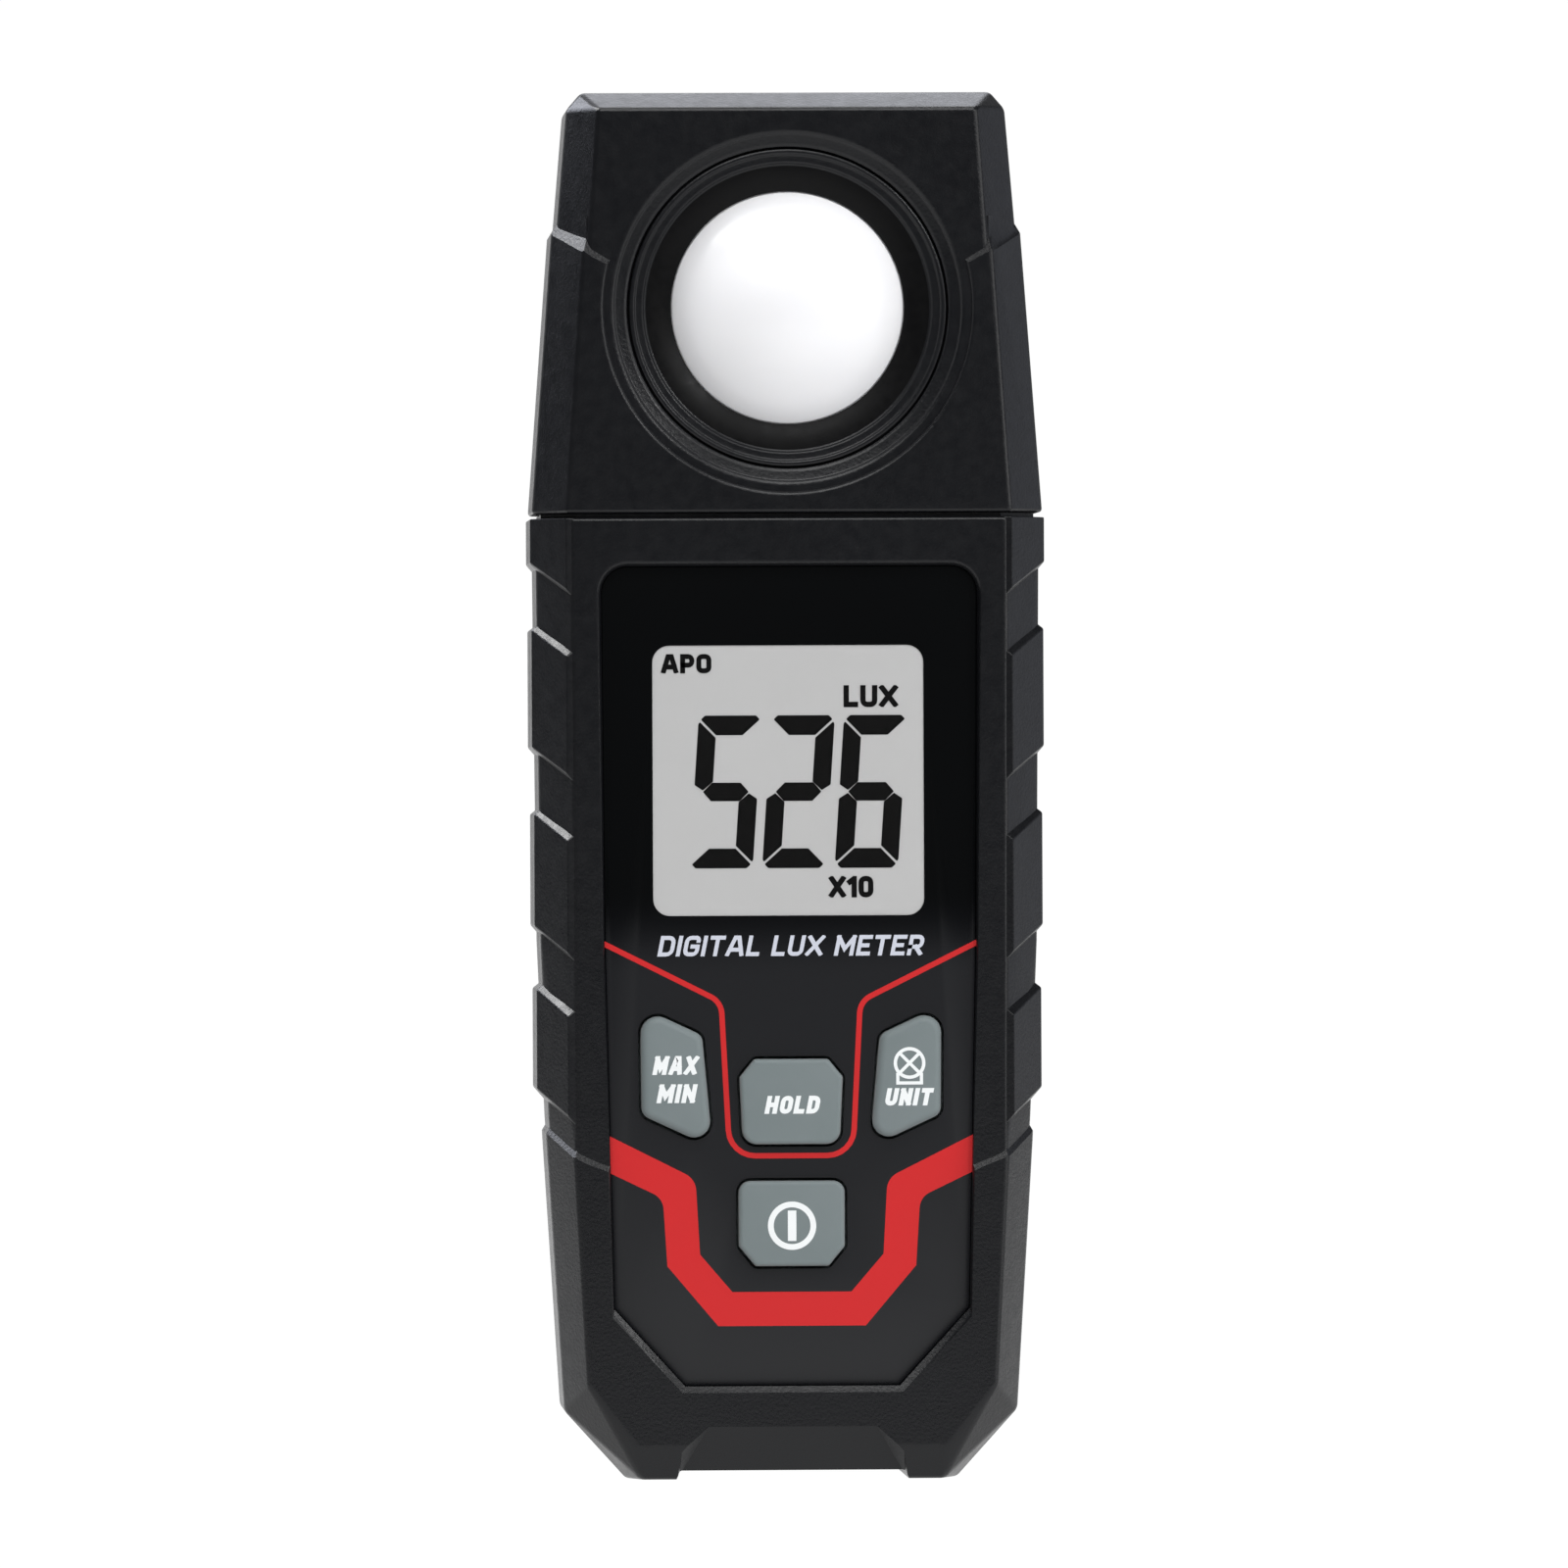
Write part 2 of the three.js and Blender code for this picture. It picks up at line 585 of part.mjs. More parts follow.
// ---------------------------------------------------------------- dome and collar

part('dome_collar', turnedY(ring([
  [domeRadius + fit, -10.45], [14.9, -10.45], [14.9, -8.2], [19.6, -8.2],
  [19.6, headFrontInnerY + fit], [collarRadius, headFrontInnerY + fit], [collarRadius, -11.4],
  [17.1, -11.4], [17.05, -11.15], [16.1, -11.15], [16, -10.8], [domeRadius + fit, -10.8],
].toReversed()), 0, domeZ), blackAbs);

// The dome is a spherical cap over a short flange, hollow behind.
function dome() {
  const rise = -10.6 - domeY;
  const sphere = (domeRadius ** 2 + rise ** 2) / (2 * rise);
  const capAt = (radius, shift) => domeY + sphere - Math.sqrt((sphere - shift) ** 2 - radius ** 2);
  const rings = 4;
  const cap = (edge, shift) => Array.from({ length: rings + 1 }, (_, step) => {
    const radius = edge * Math.sin((step / rings) * Math.PI / 2);
    return [radius, capAt(radius, shift)];
  });
  return turnedY([
    ...cap(domeRadius, 0), [domeRadius, -10.1], [14.6, -10.1], [14.6, -8.9], [11.2, -8.9],
    ...cap(11.2, 1.6).toReversed(),
  ], 0, domeZ);
}
part('dome_diffuser', dome(), opalAcrylic);

// ---------------------------------------------------------------- light sensor

part('filter_glass', barY(6, -7.8, -5.9, 0, domeZ, 24), clearFilter);
part('photodiode', block([-4, -5.5, domeZ - 4], [4, -3.9, domeZ + 4]), blackEpoxy);
part('filter_holder', turnedY(ring([
  [6.3, -8], [9.2, -8], [9.2, -3.9], [6.3, -3.9],
]), 0, domeZ, 24), blackAbs);
part('sensor_pcb', block([-11, -3.6, domeZ - 11], [11, -2, domeZ + 11]), fibreBoard);

// The lead runs up the bore of the neck; its two halves meet on the swivel axis.
const leadRadius = 1.3;
part('sensor_lead_body', tube(smoothRoute([
  [0, -3.7 + leadRadius, 93], [0, -1.2, 94.5], [0, 0.6, 97], [0, swivelY, 101.5],
  [0, swivelY, 106.5],
]), leadRadius, 16), blackRubber);
part('sensor_lead_head', tube(smoothRoute([
  [0, swivelY, 106.8], [0, swivelY, 112], [0, 1.5, 117], [0, 0.2, 122],
  [0, -1.7 + leadRadius, 126],
]), leadRadius, 16), blackRubber);

export default group;
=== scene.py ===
import math

import bmesh
import bpy
from mathutils import Matrix, Vector


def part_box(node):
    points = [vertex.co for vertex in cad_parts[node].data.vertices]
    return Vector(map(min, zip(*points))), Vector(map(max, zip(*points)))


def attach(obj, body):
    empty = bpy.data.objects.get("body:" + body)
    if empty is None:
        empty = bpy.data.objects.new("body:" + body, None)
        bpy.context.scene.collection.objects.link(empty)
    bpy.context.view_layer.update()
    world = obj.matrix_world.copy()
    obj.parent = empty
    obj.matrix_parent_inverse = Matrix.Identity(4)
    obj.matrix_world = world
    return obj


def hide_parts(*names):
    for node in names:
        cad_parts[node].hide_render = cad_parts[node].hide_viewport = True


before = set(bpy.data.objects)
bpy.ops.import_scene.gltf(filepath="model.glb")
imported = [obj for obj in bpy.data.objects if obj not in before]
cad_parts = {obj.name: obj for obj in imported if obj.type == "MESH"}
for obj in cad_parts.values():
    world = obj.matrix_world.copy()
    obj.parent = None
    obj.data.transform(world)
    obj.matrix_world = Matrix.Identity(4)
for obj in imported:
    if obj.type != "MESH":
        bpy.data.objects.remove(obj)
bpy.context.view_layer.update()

mm = 0.001    # meshes are drawn in millimetres and scaled when they are finished


def boxMm(node):
    low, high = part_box(node)
    return low / mm, high / mm


def addObject(name, data):
    made = bpy.data.objects.new(name, data)
    bpy.context.collection.objects.link(made)
    return made


def hexColour(code):
    parts = [int(code[i:i + 2], 16) / 255 for i in (0, 2, 4)]
    linear = [c / 12.92 if c <= 0.04045 else ((c + 0.055) / 1.055) ** 2.4 for c in parts]
    return (*linear, 1)


def addNode(tree, kind, sockets=None, **settings):
    made = tree.nodes.new(kind)
    for name, value in settings.items():
        setattr(made, name, value)
    for key, value in (sockets or {}).items():
        if isinstance(value, bpy.types.NodeSocket):
            tree.links.new(value, made.inputs[key])
        else:
            made.inputs[key].default_value = value
    return made


def startMaterial(name, colour, **sockets):
    material = bpy.data.materials.new(name)
    material.use_nodes = True
    tree = material.node_tree
    shader = tree.nodes["Principled BSDF"]
    shader.inputs["Base Color"].default_value = hexColour(colour)
    for key, value in sockets.items():
        shader.inputs[key.replace("_", " ")].default_value = value
    return material, tree, shader


def objectPlace(tree):
    return addNode(tree, "ShaderNodeTexCoord").outputs["Object"]


def grainBump(tree, shader, grain, depth, detail=2.0):
    # a fine all-over grain; grain and depth are in millimetres
    noise = addNode(tree, "ShaderNodeTexNoise",
                    {"Vector": objectPlace(tree), "Scale": 1 / (grain * mm), "Detail": detail})
    bump = addNode(tree, "ShaderNodeBump",
                   {"Height": noise.outputs["Fac"], "Strength": 1.0, "Distance": depth * mm})
    tree.links.new(bump.outputs["Normal"], shader.inputs["Normal"])


def blendBase(tree, shader, factor, codeA, codeB):
    # base colour that goes from codeA to codeB with factor
    mix = addNode(tree, "ShaderNodeMix", {"Factor": factor}, data_type="RGBA")
    for socket, code in zip([s for s in mix.inputs if s.type == "RGBA"], (codeA, codeB)):
        socket.default_value = hexColour(code)
    tree.links.new([s for s in mix.outputs if s.type == "RGBA"][0], shader.inputs["Base Color"])


def varyColour(tree, shader, codeA, codeB, patch):
    # slow drift between two close colours, patch in millimetres
    noise = addNode(tree, "ShaderNodeTexNoise",
                    {"Vector": objectPlace(tree), "Scale": 1 / (patch * mm), "Detail": 3.0})
    blendBase(tree, shader, noise.outputs["Fac"], codeA, codeB)


def varyRoughness(tree, shader, low, high, patch):
    noise = addNode(tree, "ShaderNodeTexNoise",
                    {"Vector": objectPlace(tree), "Scale": 1 / (patch * mm), "Detail": 4.0})
    spread = addNode(tree, "ShaderNodeMapRange",
                     {"Value": noise.outputs["Fac"], "From Min": 0.3, "From Max": 0.7,
                      "To Min": low, "To Max": high})
    tree.links.new(spread.outputs["Result"], shader.inputs["Roughness"])


def surface(name, colour, drift=(), rough=(), grain=(), **sockets):
    # drift: two colours and a patch size; rough: two limits and a patch size; grain: size and depth
    material, tree, shader = startMaterial(name, colour, **sockets)
    if drift:
        varyColour(tree, shader, *drift)
    if rough:
        varyRoughness(tree, shader, *rough)
    if grain:
        grainBump(tree, shader, *grain)
    return material


def printedFilm(glossFrom, glossTo):
    # polycarbonate film printed black from behind: polished over the display, satin lower down
    material, tree, shader = startMaterial(
        "polycarbonateFilmBlackPrint", "0c0d0f", IOR=1.58, Specular_IOR_Level=0.3)
    height = addNode(tree, "ShaderNodeSeparateXYZ", {"Vector": objectPlace(tree)}).outputs["Z"]
    fade = addNode(tree, "ShaderNodeMapRange",
                   {"Value": height, "From Min": glossFrom * mm, "From Max": glossTo * mm},
                   interpolation_type="SMOOTHSTEP")
    rough = addNode(tree, "ShaderNodeMapRange",
                    {"Value": fade.outputs["Result"], "To Min": 0.36, "To Max": 0.07})
    tree.links.new(rough.outputs["Result"], shader.inputs["Roughness"])
    blendBase(tree, shader, fade.outputs["Result"], "111216", "08090a")
    noise = addNode(tree, "ShaderNodeTexNoise",
                    {"Vector": objectPlace(tree), "Scale": 1 / (0.22 * mm), "Detail": 2.0})
    depth = addNode(tree, "ShaderNodeMapRange",
                    {"Value": fade.outputs["Result"], "To Min": 0.6, "To Max": 0.0})
    bump = addNode(tree, "ShaderNodeBump",
                   {"Height": noise.outputs["Fac"], "Strength": depth.outputs["Result"],
                    "Distance": 0.008 * mm})
    tree.links.new(bump.outputs["Normal"], shader.inputs["Normal"])
    return material


def screenInk(name, codeA, codeB, roughness):
    # screen printed ink: flat colour with the faint unevenness of the mesh
    return surface(name, codeA, (codeA, codeB, 3), (), (0.15, 0.004), Roughness=roughness,
                   Specular_IOR_Level=0.35)


def plainMoulding(name, codeA, codeB, roughness, grain=0.3, depth=0.008, specular=0.5):
    return surface(name, codeA, (codeA, codeB, 4), (roughness - 0.05, roughness + 0.05, 1),
                   (grain, depth), Specular_IOR_Level=specular)


def platedMetal(name, codeA, codeB, low, high, scratch=0.25):
    # plated or turned metal: bright, with fine tool marks in the roughness
    return surface(name, codeA, (codeA, codeB, 1.5), (low, high, scratch), (scratch, 0.003),
                   Metallic=1.0)


looks = {
    # injection moulded ABS from a spark-eroded tool: dark, satin, with a fine sandy grain
    "abs": surface("blackAbsSparkEroded", "1a1b1d", ("0d0e11", "121316", 9), (0.28, 0.36, 1.4),
                   (0.36, 0.03, 3.0), IOR=1.53, Specular_IOR_Level=0.3),
    "film": printedFilm(56, 66),
    "red": screenInk("screenInkRed", "cc2124", "c82325", 0.42),
    "white": screenInk("screenInkWhite", "cdd0dc", "c6cad6", 0.5),
    "legend": screenInk("screenInkLegendWhite", "f2f5f6", "e9eced", 0.5),
    # compression moulded silicone rubber: soft satin grey that lightens on its round edges
    "silicone": surface("siliconeRubberGrey", "7c8584", ("6e797a", "778082", 5), (0.46, 0.58, 0.8),
                        (0.2, 0.008), IOR=1.41, Sheen_Weight=0.25, Sheen_Roughness=0.5),
    # cast opal acrylic, polished: white all through, with a soft wet gloss and a little light
    # spreading inside the shell; its faint even glow is painted light, an emission that lifts
    # its shading
    "opal": surface("opalAcrylicPolished", "f4f4f6", ("eeeef1", "f3f3f5", 8), (), (2.5, 0.002),
                    IOR=1.49, Roughness=0.3, Subsurface_Weight=0.2, Subsurface_Scale=0.002,
                    Subsurface_Radius=(1.0, 0.95, 0.9), Coat_Weight=0.22, Coat_Roughness=0.13,
                    Emission_Color=hexColour("ffffff"), Emission_Strength=0.04),
    # reflective liquid crystal cell behind a satin polariser: even light grey
    "lcd": surface("lcdPolariserSatin", "c8c8c8", ("b8b8b8", "bcbcbc", 12), (0.5, 0.6, 0.6),
                   Specular_IOR_Level=0.2),
    # switched segments: nearly black and dull
    "segment": surface("lcdSegmentDark", "080808", ("060606", "0a0a0a", 2), Roughness=0.6,
                       Specular_IOR_Level=0.1),
    # optically clear polycarbonate: invisible but for a faint reflection
    "window": surface("polycarbonateClear", "ffffff", grain=(4, 0.0005), Roughness=0.03, IOR=1.3,
                      Transmission_Weight=1.0, Alpha=0.08),
    # glass fibre board under green solder mask, glossy
    "board": surface("fr4SolderMaskGreen", "1f5a30", ("1b5029", "276838", 0.7), (), (0.5, 0.01),
                     Roughness=0.35, Coat_Weight=0.4, Coat_Roughness=0.15),
    # the case plastic again, darker and duller: painted shade for the collar's ring by the dome, so
    # it throws back no light
    "paintedShadeAbs": plainMoulding("absPaintedShadeDark", "060607", "09090a", 0.38, 0.2, 0.006, 0.14),
    # black transfer moulded epoxy, faintly sparkling
    "epoxy": plainMoulding("epoxyMouldingBlack", "141414", "1a1a1a", 0.4, 0.12, 0.006),
    # natural nylon: milky, slightly waxy
    "nylon": plainMoulding("nylonNatural", "d9d8d0", "e2e1da", 0.42, 0.5, 0.006),
    # extruded black vinyl and pressed rubber: dull
    "rubber": plainMoulding("rubberBlack", "161616", "1d1d1d", 0.72, 0.25, 0.012),
    "redVinyl": plainMoulding("vinylRed", "b02222", "bb2626", 0.4, 0.4, 0.004),
    "nickel": platedMetal("nickelPlatedSteel", "c9c7c1", "b9b7b1", 0.22, 0.34),
    "brass": platedMetal("brassTurned", "c9a75c", "b9954a", 0.2, 0.34, 0.12),
    "screw": platedMetal("steelBlackZinc", "3a3a3e", "2c2c30", 0.3, 0.45),
    # polished absorption glass, green enough to match the eye's response
    "filter": surface("absorptionGlassGreen", "b9d8c4", rough=(0.03, 0.07, 2), Roughness=0.05,
                      IOR=1.52, Transmission_Weight=0.8),
    # printed sleeves shrunk on the cells: glossy
    "sleeve": plainMoulding("cellSleeveGraphite", "23282f", "282e36", 0.22, 3, 0.003),
    "band": plainMoulding("cellSleeveCopper", "b4733a", "a96a34", 0.25, 3, 0.003),
}
print("materials ready:", len(looks))


def roundCorners(corners, perCorner=6):
    # corners are (x, z) or (x, z, radius); each rounded one becomes a true arc
    points = []
    for index, corner in enumerate(corners):
        here = Vector(corner[:2])
        radius = corner[2] if len(corner) > 2 else 0
        if radius <= 0:
            points.append(here)
            continue
        back = (Vector(corners[index - 1][:2]) - here).normalized()
        ahead = (Vector(corners[(index + 1) % len(corners)][:2]) - here).normalized()
        half = back.angle(ahead) / 2
        centre = here + (back + ahead).normalized() * radius / math.sin(half)
        start = here + back * radius / math.tan(half) - centre
        end = here + ahead * radius / math.tan(half) - centre
        turn = start.angle_signed(end)
        for step in range(perCorner + 1):
            points.append(centre + Matrix.Rotation(-turn * step / perCorner, 2) @ start)
    return points


def shifted(path, distance, least, closed=True):
    # the path moved sideways; no rounded corner gets a radius under least
    spots = [Vector(corner[:2]) for corner in path]
    last = len(spots) - 1
    moved = []
    for i, spot in enumerate(spots):
        before = (spot - spots[i - 1]).normalized()
        after = (spots[(i + 1) % len(spots)] - spot).normalized()
        if not closed and i == 0:
            before = after
        if not closed and i == last:
            after = before
        first = Vector((before.y, -before.x))
        second = Vector((after.y, -after.x))
        shift = (first + second) * distance / (1 + first.dot(second))
        radius = path[i][2] if len(path[i]) > 2 else 0
        bend = distance if before.cross(after) > 0 else -distance
        moved.append((*(spot + shift), max(radius + bend, least) if radius else 0))
    return moved


def offsetCorners(corners, grow):
    # the same outline with every side moved out by grow
    spots = [Vector(corner[:2]) for corner in corners]
    area = sum(spots[i - 1].cross(spots[i]) for i in range(len(spots)))
    return shifted(corners, grow if area > 0 else -grow, 0.05)


def mirrored(half):
    return [*half, *[(-c[0], *c[1:]) for c in reversed(half)]]


def tidy(bm):
    bmesh.ops.remove_doubles(bm, verts=bm.verts, dist=0.0005)
    bmesh.ops.recalc_face_normals(bm, faces=bm.faces)
    return bm


def soften(bm, width, segments=3, sharpest=16, chosen=None):
    edges = [e for e in bm.edges
             if len(e.link_faces) == 2 and math.degrees(e.calc_face_angle(0)) > sharpest
             and (chosen is None or chosen(e))]
    bmesh.ops.bevel(bm, geom=edges, offset=width, offset_type="OFFSET", segments=segments,
                    profile=0.5, affect="EDGES", material=-1, clamp_overlap=True)
    return bm


def pushBack(bm, faces, depth):
    pushed = bmesh.ops.extrude_face_region(bm, geom=faces)["geom"]
    bmesh.ops.translate(bm, vec=(0, depth, 0),
                        verts=[v for v in pushed if isinstance(v, bmesh.types.BMVert)])
    return tidy(bm)


def prism(corners, y0, y1, perCorner=6):
    bm = bmesh.new()
    loop = [bm.verts.new((x, y0, z)) for x, z in roundCorners(corners, perCorner)]
    face = bm.faces.new(loop)
    return pushBack(bm, [face], y1 - y0)


def block(low, high, bevel=0):
    bm = bmesh.new()
    bmesh.ops.create_cube(bm, size=1)
    size = Vector(high) - Vector(low)
    bmesh.ops.scale(bm, vec=size, verts=bm.verts)
    bmesh.ops.translate(bm, vec=(Vector(high) + Vector(low)) / 2, verts=bm.verts)
    return soften(bm, bevel) if bevel else bm


def hull(points, bevel=0, segments=3):
    # the convex solid round a cloud of points
    bm = bmesh.new()
    for point in points:
        bm.verts.new(point)
    made = bmesh.ops.convex_hull(bm, input=bm.verts)
    spare = {g for g in made["geom_interior"] + made["geom_unused"]
             if isinstance(g, bmesh.types.BMVert)}
    bmesh.ops.delete(bm, geom=list(spare), context="VERTS")
    bmesh.ops.dissolve_limit(bm, angle_limit=math.radians(0.8), verts=bm.verts, edges=bm.edges)
    tidy(bm)
    return soften(bm, bevel, segments) if bevel else bm


def sections(*levels):
    # mirrored half outlines, each at its own depth
    return [Vector((side * x, y, z)) for y, half in levels for x, z in half for side in (1, -1)]


def turned(profile, axis, centre, steps=64):
    # a profile of (radius, height) turned about an axis through centre
    bm = bmesh.new()
    along = Vector(axis)
    outward = Vector((1, 0, 0))
    verts = [bm.verts.new(Vector(centre) + outward * r + along * h) for r, h in profile]
    edges = [bm.edges.new(pair) for pair in zip(verts, verts[1:])]
    bmesh.ops.spin(bm, geom=verts + edges, cent=centre, axis=along, angle=math.tau, steps=steps,
                   use_merge=True)
    return tidy(bm)


def ribbon(path, width, y0, y1, closed=False, perCorner=6):
    # a flat stroke of even width along a path of (x, z) or (x, z, radius)
    sides = [roundCorners(shifted(path, half, 0.02, closed), perCorner)
             for half in (width / 2, -width / 2)]
    bm = bmesh.new()
    left, right = [[bm.verts.new((x, y0, z)) for x, z in side] for side in sides]
    for i in range(0 if closed else 1, len(left)):
        bm.faces.new((left[i - 1], left[i], right[i], right[i - 1]))
    return pushBack(bm, bm.faces[:], y1 - y0)


def meshFrom(bm, name):
    mesh = bpy.data.meshes.new(name)
    bm.to_mesh(mesh)
    return mesh


add, cut = "UNION", "DIFFERENCE"


def carve(base, *steps):
    # steps are (add or cut, solid), done in order
    shell = addObject("shell", meshFrom(base, "shell"))
    tools = []
    for operation, solid in steps:
        tool = addObject("tool", meshFrom(solid, "tool"))
        tool.hide_render = True
        modifier = shell.modifiers.new("cut", "BOOLEAN")
        modifier.operation = operation
        modifier.solver = "EXACT"
        modifier.object = tool
        tools.append(tool)
    graph = bpy.context.evaluated_depsgraph_get()
    done = bmesh.new()
    done.from_mesh(shell.evaluated_get(graph).to_mesh())
    for used in [shell, *tools]:
        bpy.data.objects.remove(used)
    bmesh.ops.remove_doubles(done, verts=done.verts, dist=0.0005)
    bmesh.ops.dissolve_degenerate(done, edges=done.edges, dist=0.0005)
    return done


def finishPiece(bm, name, body, look, standsFor=(), smooth=32, weighted=False):
    bmesh.ops.scale(bm, vec=(mm, mm, mm), verts=bm.verts)
    mesh = meshFrom(bm, name)
    bm.free()
    piece = addObject(name, mesh)
    for each in ([look] if isinstance(look, str) else look):
        mesh.materials.append(looks[each])
    mesh.shade_smooth()
    mesh.set_sharp_from_angle(angle=math.radians(smooth))
    if weighted:
        modifier = piece.modifiers.new("evenShading", "WEIGHTED_NORMAL")
        modifier.keep_sharp = True
    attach(piece, body)
    if standsFor:
        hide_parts(*standsFor)
    return piece


caseLook = {
    "front": -12.5, "back": 17.5, "facet": 5.5, "wall": 2.0, "seamGap": 0.15,
    "edge": 0.42,            # rounding of the long edges
    "stepEdge": 0.16,        # rounding of the grip blocks
    "side": [(28.2, 107.4), (27.8, 60), (27.0, 40.5), (25.0, 7.8), (18.3, 0)],
    "flat": [(24.3, 107.4), (24.0, 36), (22.5, 10.8), (17.1, 3.9)],
    "gripX": (28.8, 28.15), "gripFlatX": 24.9,
    "grips": [(107.4, 102.4), (94.9, 81.8), (74.3, 61.8), (54.7, 43.6)],
    "gripDrop": 3.0,         # how far a block's ends fall between side and front flat
    "bootRise": 0.4,
    "bootSide": [(27.5, 44), (27.25, 37.7), (25.4, 7.6), (18.5, 0)],
    "bootFlat": [(24.3, 44), (24.2, 36), (22.8, 10.5), (17.3, 3.6)],
    "sole": (1.1, [(16.9, 0)]),      # how far back the lower edge rolls, and its half outline
    "bootLine": [(10, 34.4), (20.5, 34.4), (24.15, 35.9), (27.25, 38.7)],
    "footGap": [(12.6, 0.95), (13.4, -1)],
    "gripFoot": 43,          # the height at which the blocks stop narrowing
    "lip": {"side": 27.6, "flat": 23.7, "inset": 0.9, "rise": 0.42},      # raised top under the head
    # the rolled edge between the feet, by depth behind the face
    "roll": [(-1, [(9.4, 6.4), (13.2, -1)]), (0.02, [(9.4, 5.9), (12.4, 3.2), (13.2, -1)]),
             (0.25, [(10.0, 4.9)]), (0.7, [(11.0, 3.6)]), (1.5, [(12.0, 2.0)]),
             (2.7, [(12.6, 0.4), (12.8, -1)])],
    "screws": [(-20.6, 22), (20.6, 22), (-20.6, 101), (20.6, 101)],
}
neckLow, neckHigh = boxMm("swivel_neck")
swivelY = neckLow.y + (neckHigh.y - neckLow.y) / 2
caseTop = boxMm("front_case")[1].z
far = 80           # beyond any side of the meter
aboveAll = 170     # higher than its top


def facetedShell(side, flat, front, back, bevel, sole=()):
    # flats front and back, side walls between the facets, and any rounded lower edge
    c = caseLook
    levels = [(front, flat), (c["front"] + c["facet"], side), (c["back"] - c["facet"], side),
              (back, flat)]
    for depth, half in sole:
        levels += [(front + depth, half), (back - depth, half)]
    return hull(sections(*levels), bevel)


def gripBlock(side, top, bottom):
    c = caseLook
    level = top >= caseTop - 0.01      # the top block ends level with the body
    spread = (caseTop - top) / (caseTop - c["gripFoot"])
    gripX = c["gripX"][0] + (c["gripX"][1] - c["gripX"][0]) * spread
    root, slope, skin = 2.2, 1.7, 0.03
    points = []
    for y, x, drop, inY in (
            (c["front"] - skin, c["gripFlatX"], c["gripDrop"], 0.5),
            (c["front"] + c["facet"], gripX, 0, 0),
            (c["back"] - c["facet"], gripX, 0, 0),
            (c["back"] + skin, c["gripFlatX"], c["gripDrop"], -0.5)):
        topDrop = skin if level else drop
        topSlope = 0 if level else slope
        points += [
            (side * x, y, top - topDrop), (side * x, y, bottom - drop),
            (side * (x - root), y + inY, top - topDrop + topSlope),
            (side * (x - root), y + inY, bottom - drop - 1.5 * slope)]
    return hull(points, c["stepEdge"], 2)


def aboveLine(half, lean=1.6, out=0.6, back=0.9):
    # a ring that cuts off everything above a line running round a shell, its wall leaning back
    # from the surface; half holds (x, y, z) and the way the surface faces, front to back
    run = half + [((-x, y, z), (-nx, ny)) for (x, y, z), (nx, ny) in reversed(half)]
    bm = bmesh.new()
    rings = []
    for (x, y, z), (nx, ny) in run:
        outer, inner = [(x + nx * d, y + ny * d, z - lean * d) for d in (out, -back)]
        rings.append([bm.verts.new(p) for p in
                      (outer, inner, (*inner[:2], aboveAll), (*outer[:2], aboveAll))])
    for i, ring in enumerate(rings):
        for j in range(4):
            bm.faces.new((rings[i - 1][j], ring[j], ring[j - 3], rings[i - 1][j - 3]))
    return tidy(bm)


def faceRun(points, front, back):
    # the line over front flat, front facet, side and back facet of one half of a shell
    (x0, z0), (x1, z1), (x2, z2), (x3, z3) = points
    c = caseLook
    sideFront, sideBack = c["front"] + c["facet"], c["back"] - c["facet"]
    return [((x0, front, z0), (0, -1)), ((x1, front, z1), (0, -1)), ((x2, front, z2), (0.3, -0.95)),
            ((x3, sideFront, z3), (0.95, -0.3)), ((x3, sideBack, z3), (0.95, 0.3)),
            ((x2, back, z2), (0.3, 0.95)), ((x1, back, z1), (0, 1)), ((x0, back, z0), (0, 1))]


def bodyBlank():
    c = caseLook
    core = facetedShell(c["side"], c["flat"], c["front"], c["back"], c["edge"], [c["sole"]])
    boot = carve(
        facetedShell(c["bootSide"], c["bootFlat"], c["front"] - c["bootRise"], c["back"], c["edge"],
                     [c["sole"]]),
        (cut, aboveLine(faceRun(c["bootLine"], c["front"] - c["bootRise"], c["back"]))))
    grips = [gripBlock(side, *ends) for side in (1, -1) for ends in c["grips"]]
    gap = hull(sections((-far, c["footGap"]), (far, c["footGap"])), 0.25, 2)
    face = c["front"] - c["bootRise"]
    roll = hull(sections(*[(face + depth, half) for depth, half in c["roll"]]))
    lipTop = caseTop + c["lip"]["rise"]
    lip = facetedShell(*[[(c["lip"][part], lipTop), (c["lip"][part], caseTop - 2)]
                         for part in ("side", "flat")],
                       c["front"] + c["lip"]["inset"], c["back"] - c["lip"]["inset"], 0)
    return carve(core, (add, boot), *[(add, g) for g in grips],
                 (add, lip), (cut, gap), (cut, roll))


def seamGroove(side, flat):
    # the line round the case where its two halves meet; the outlines are those of its bottom
    c = caseLook
    slab = block((-far, swivelY - c["seamGap"], -far), (far, swivelY + c["seamGap"], 2 * far))
    return carve(slab, (cut, facetedShell(side, flat, c["front"] + 1, c["back"] - 1, 0)))


def inwards(half, distance, low, high):
    return [(x - distance, min(max(z, low), high)) for x, z in half]


def shellCavity():
    c = caseLook
    w = c["wall"]
    return facetedShell(inwards(c["side"], w, 2.95, caseTop - w),
                        inwards(c["flat"], w, 5, caseTop - w), c["front"] + w, c["back"] - w, 0)


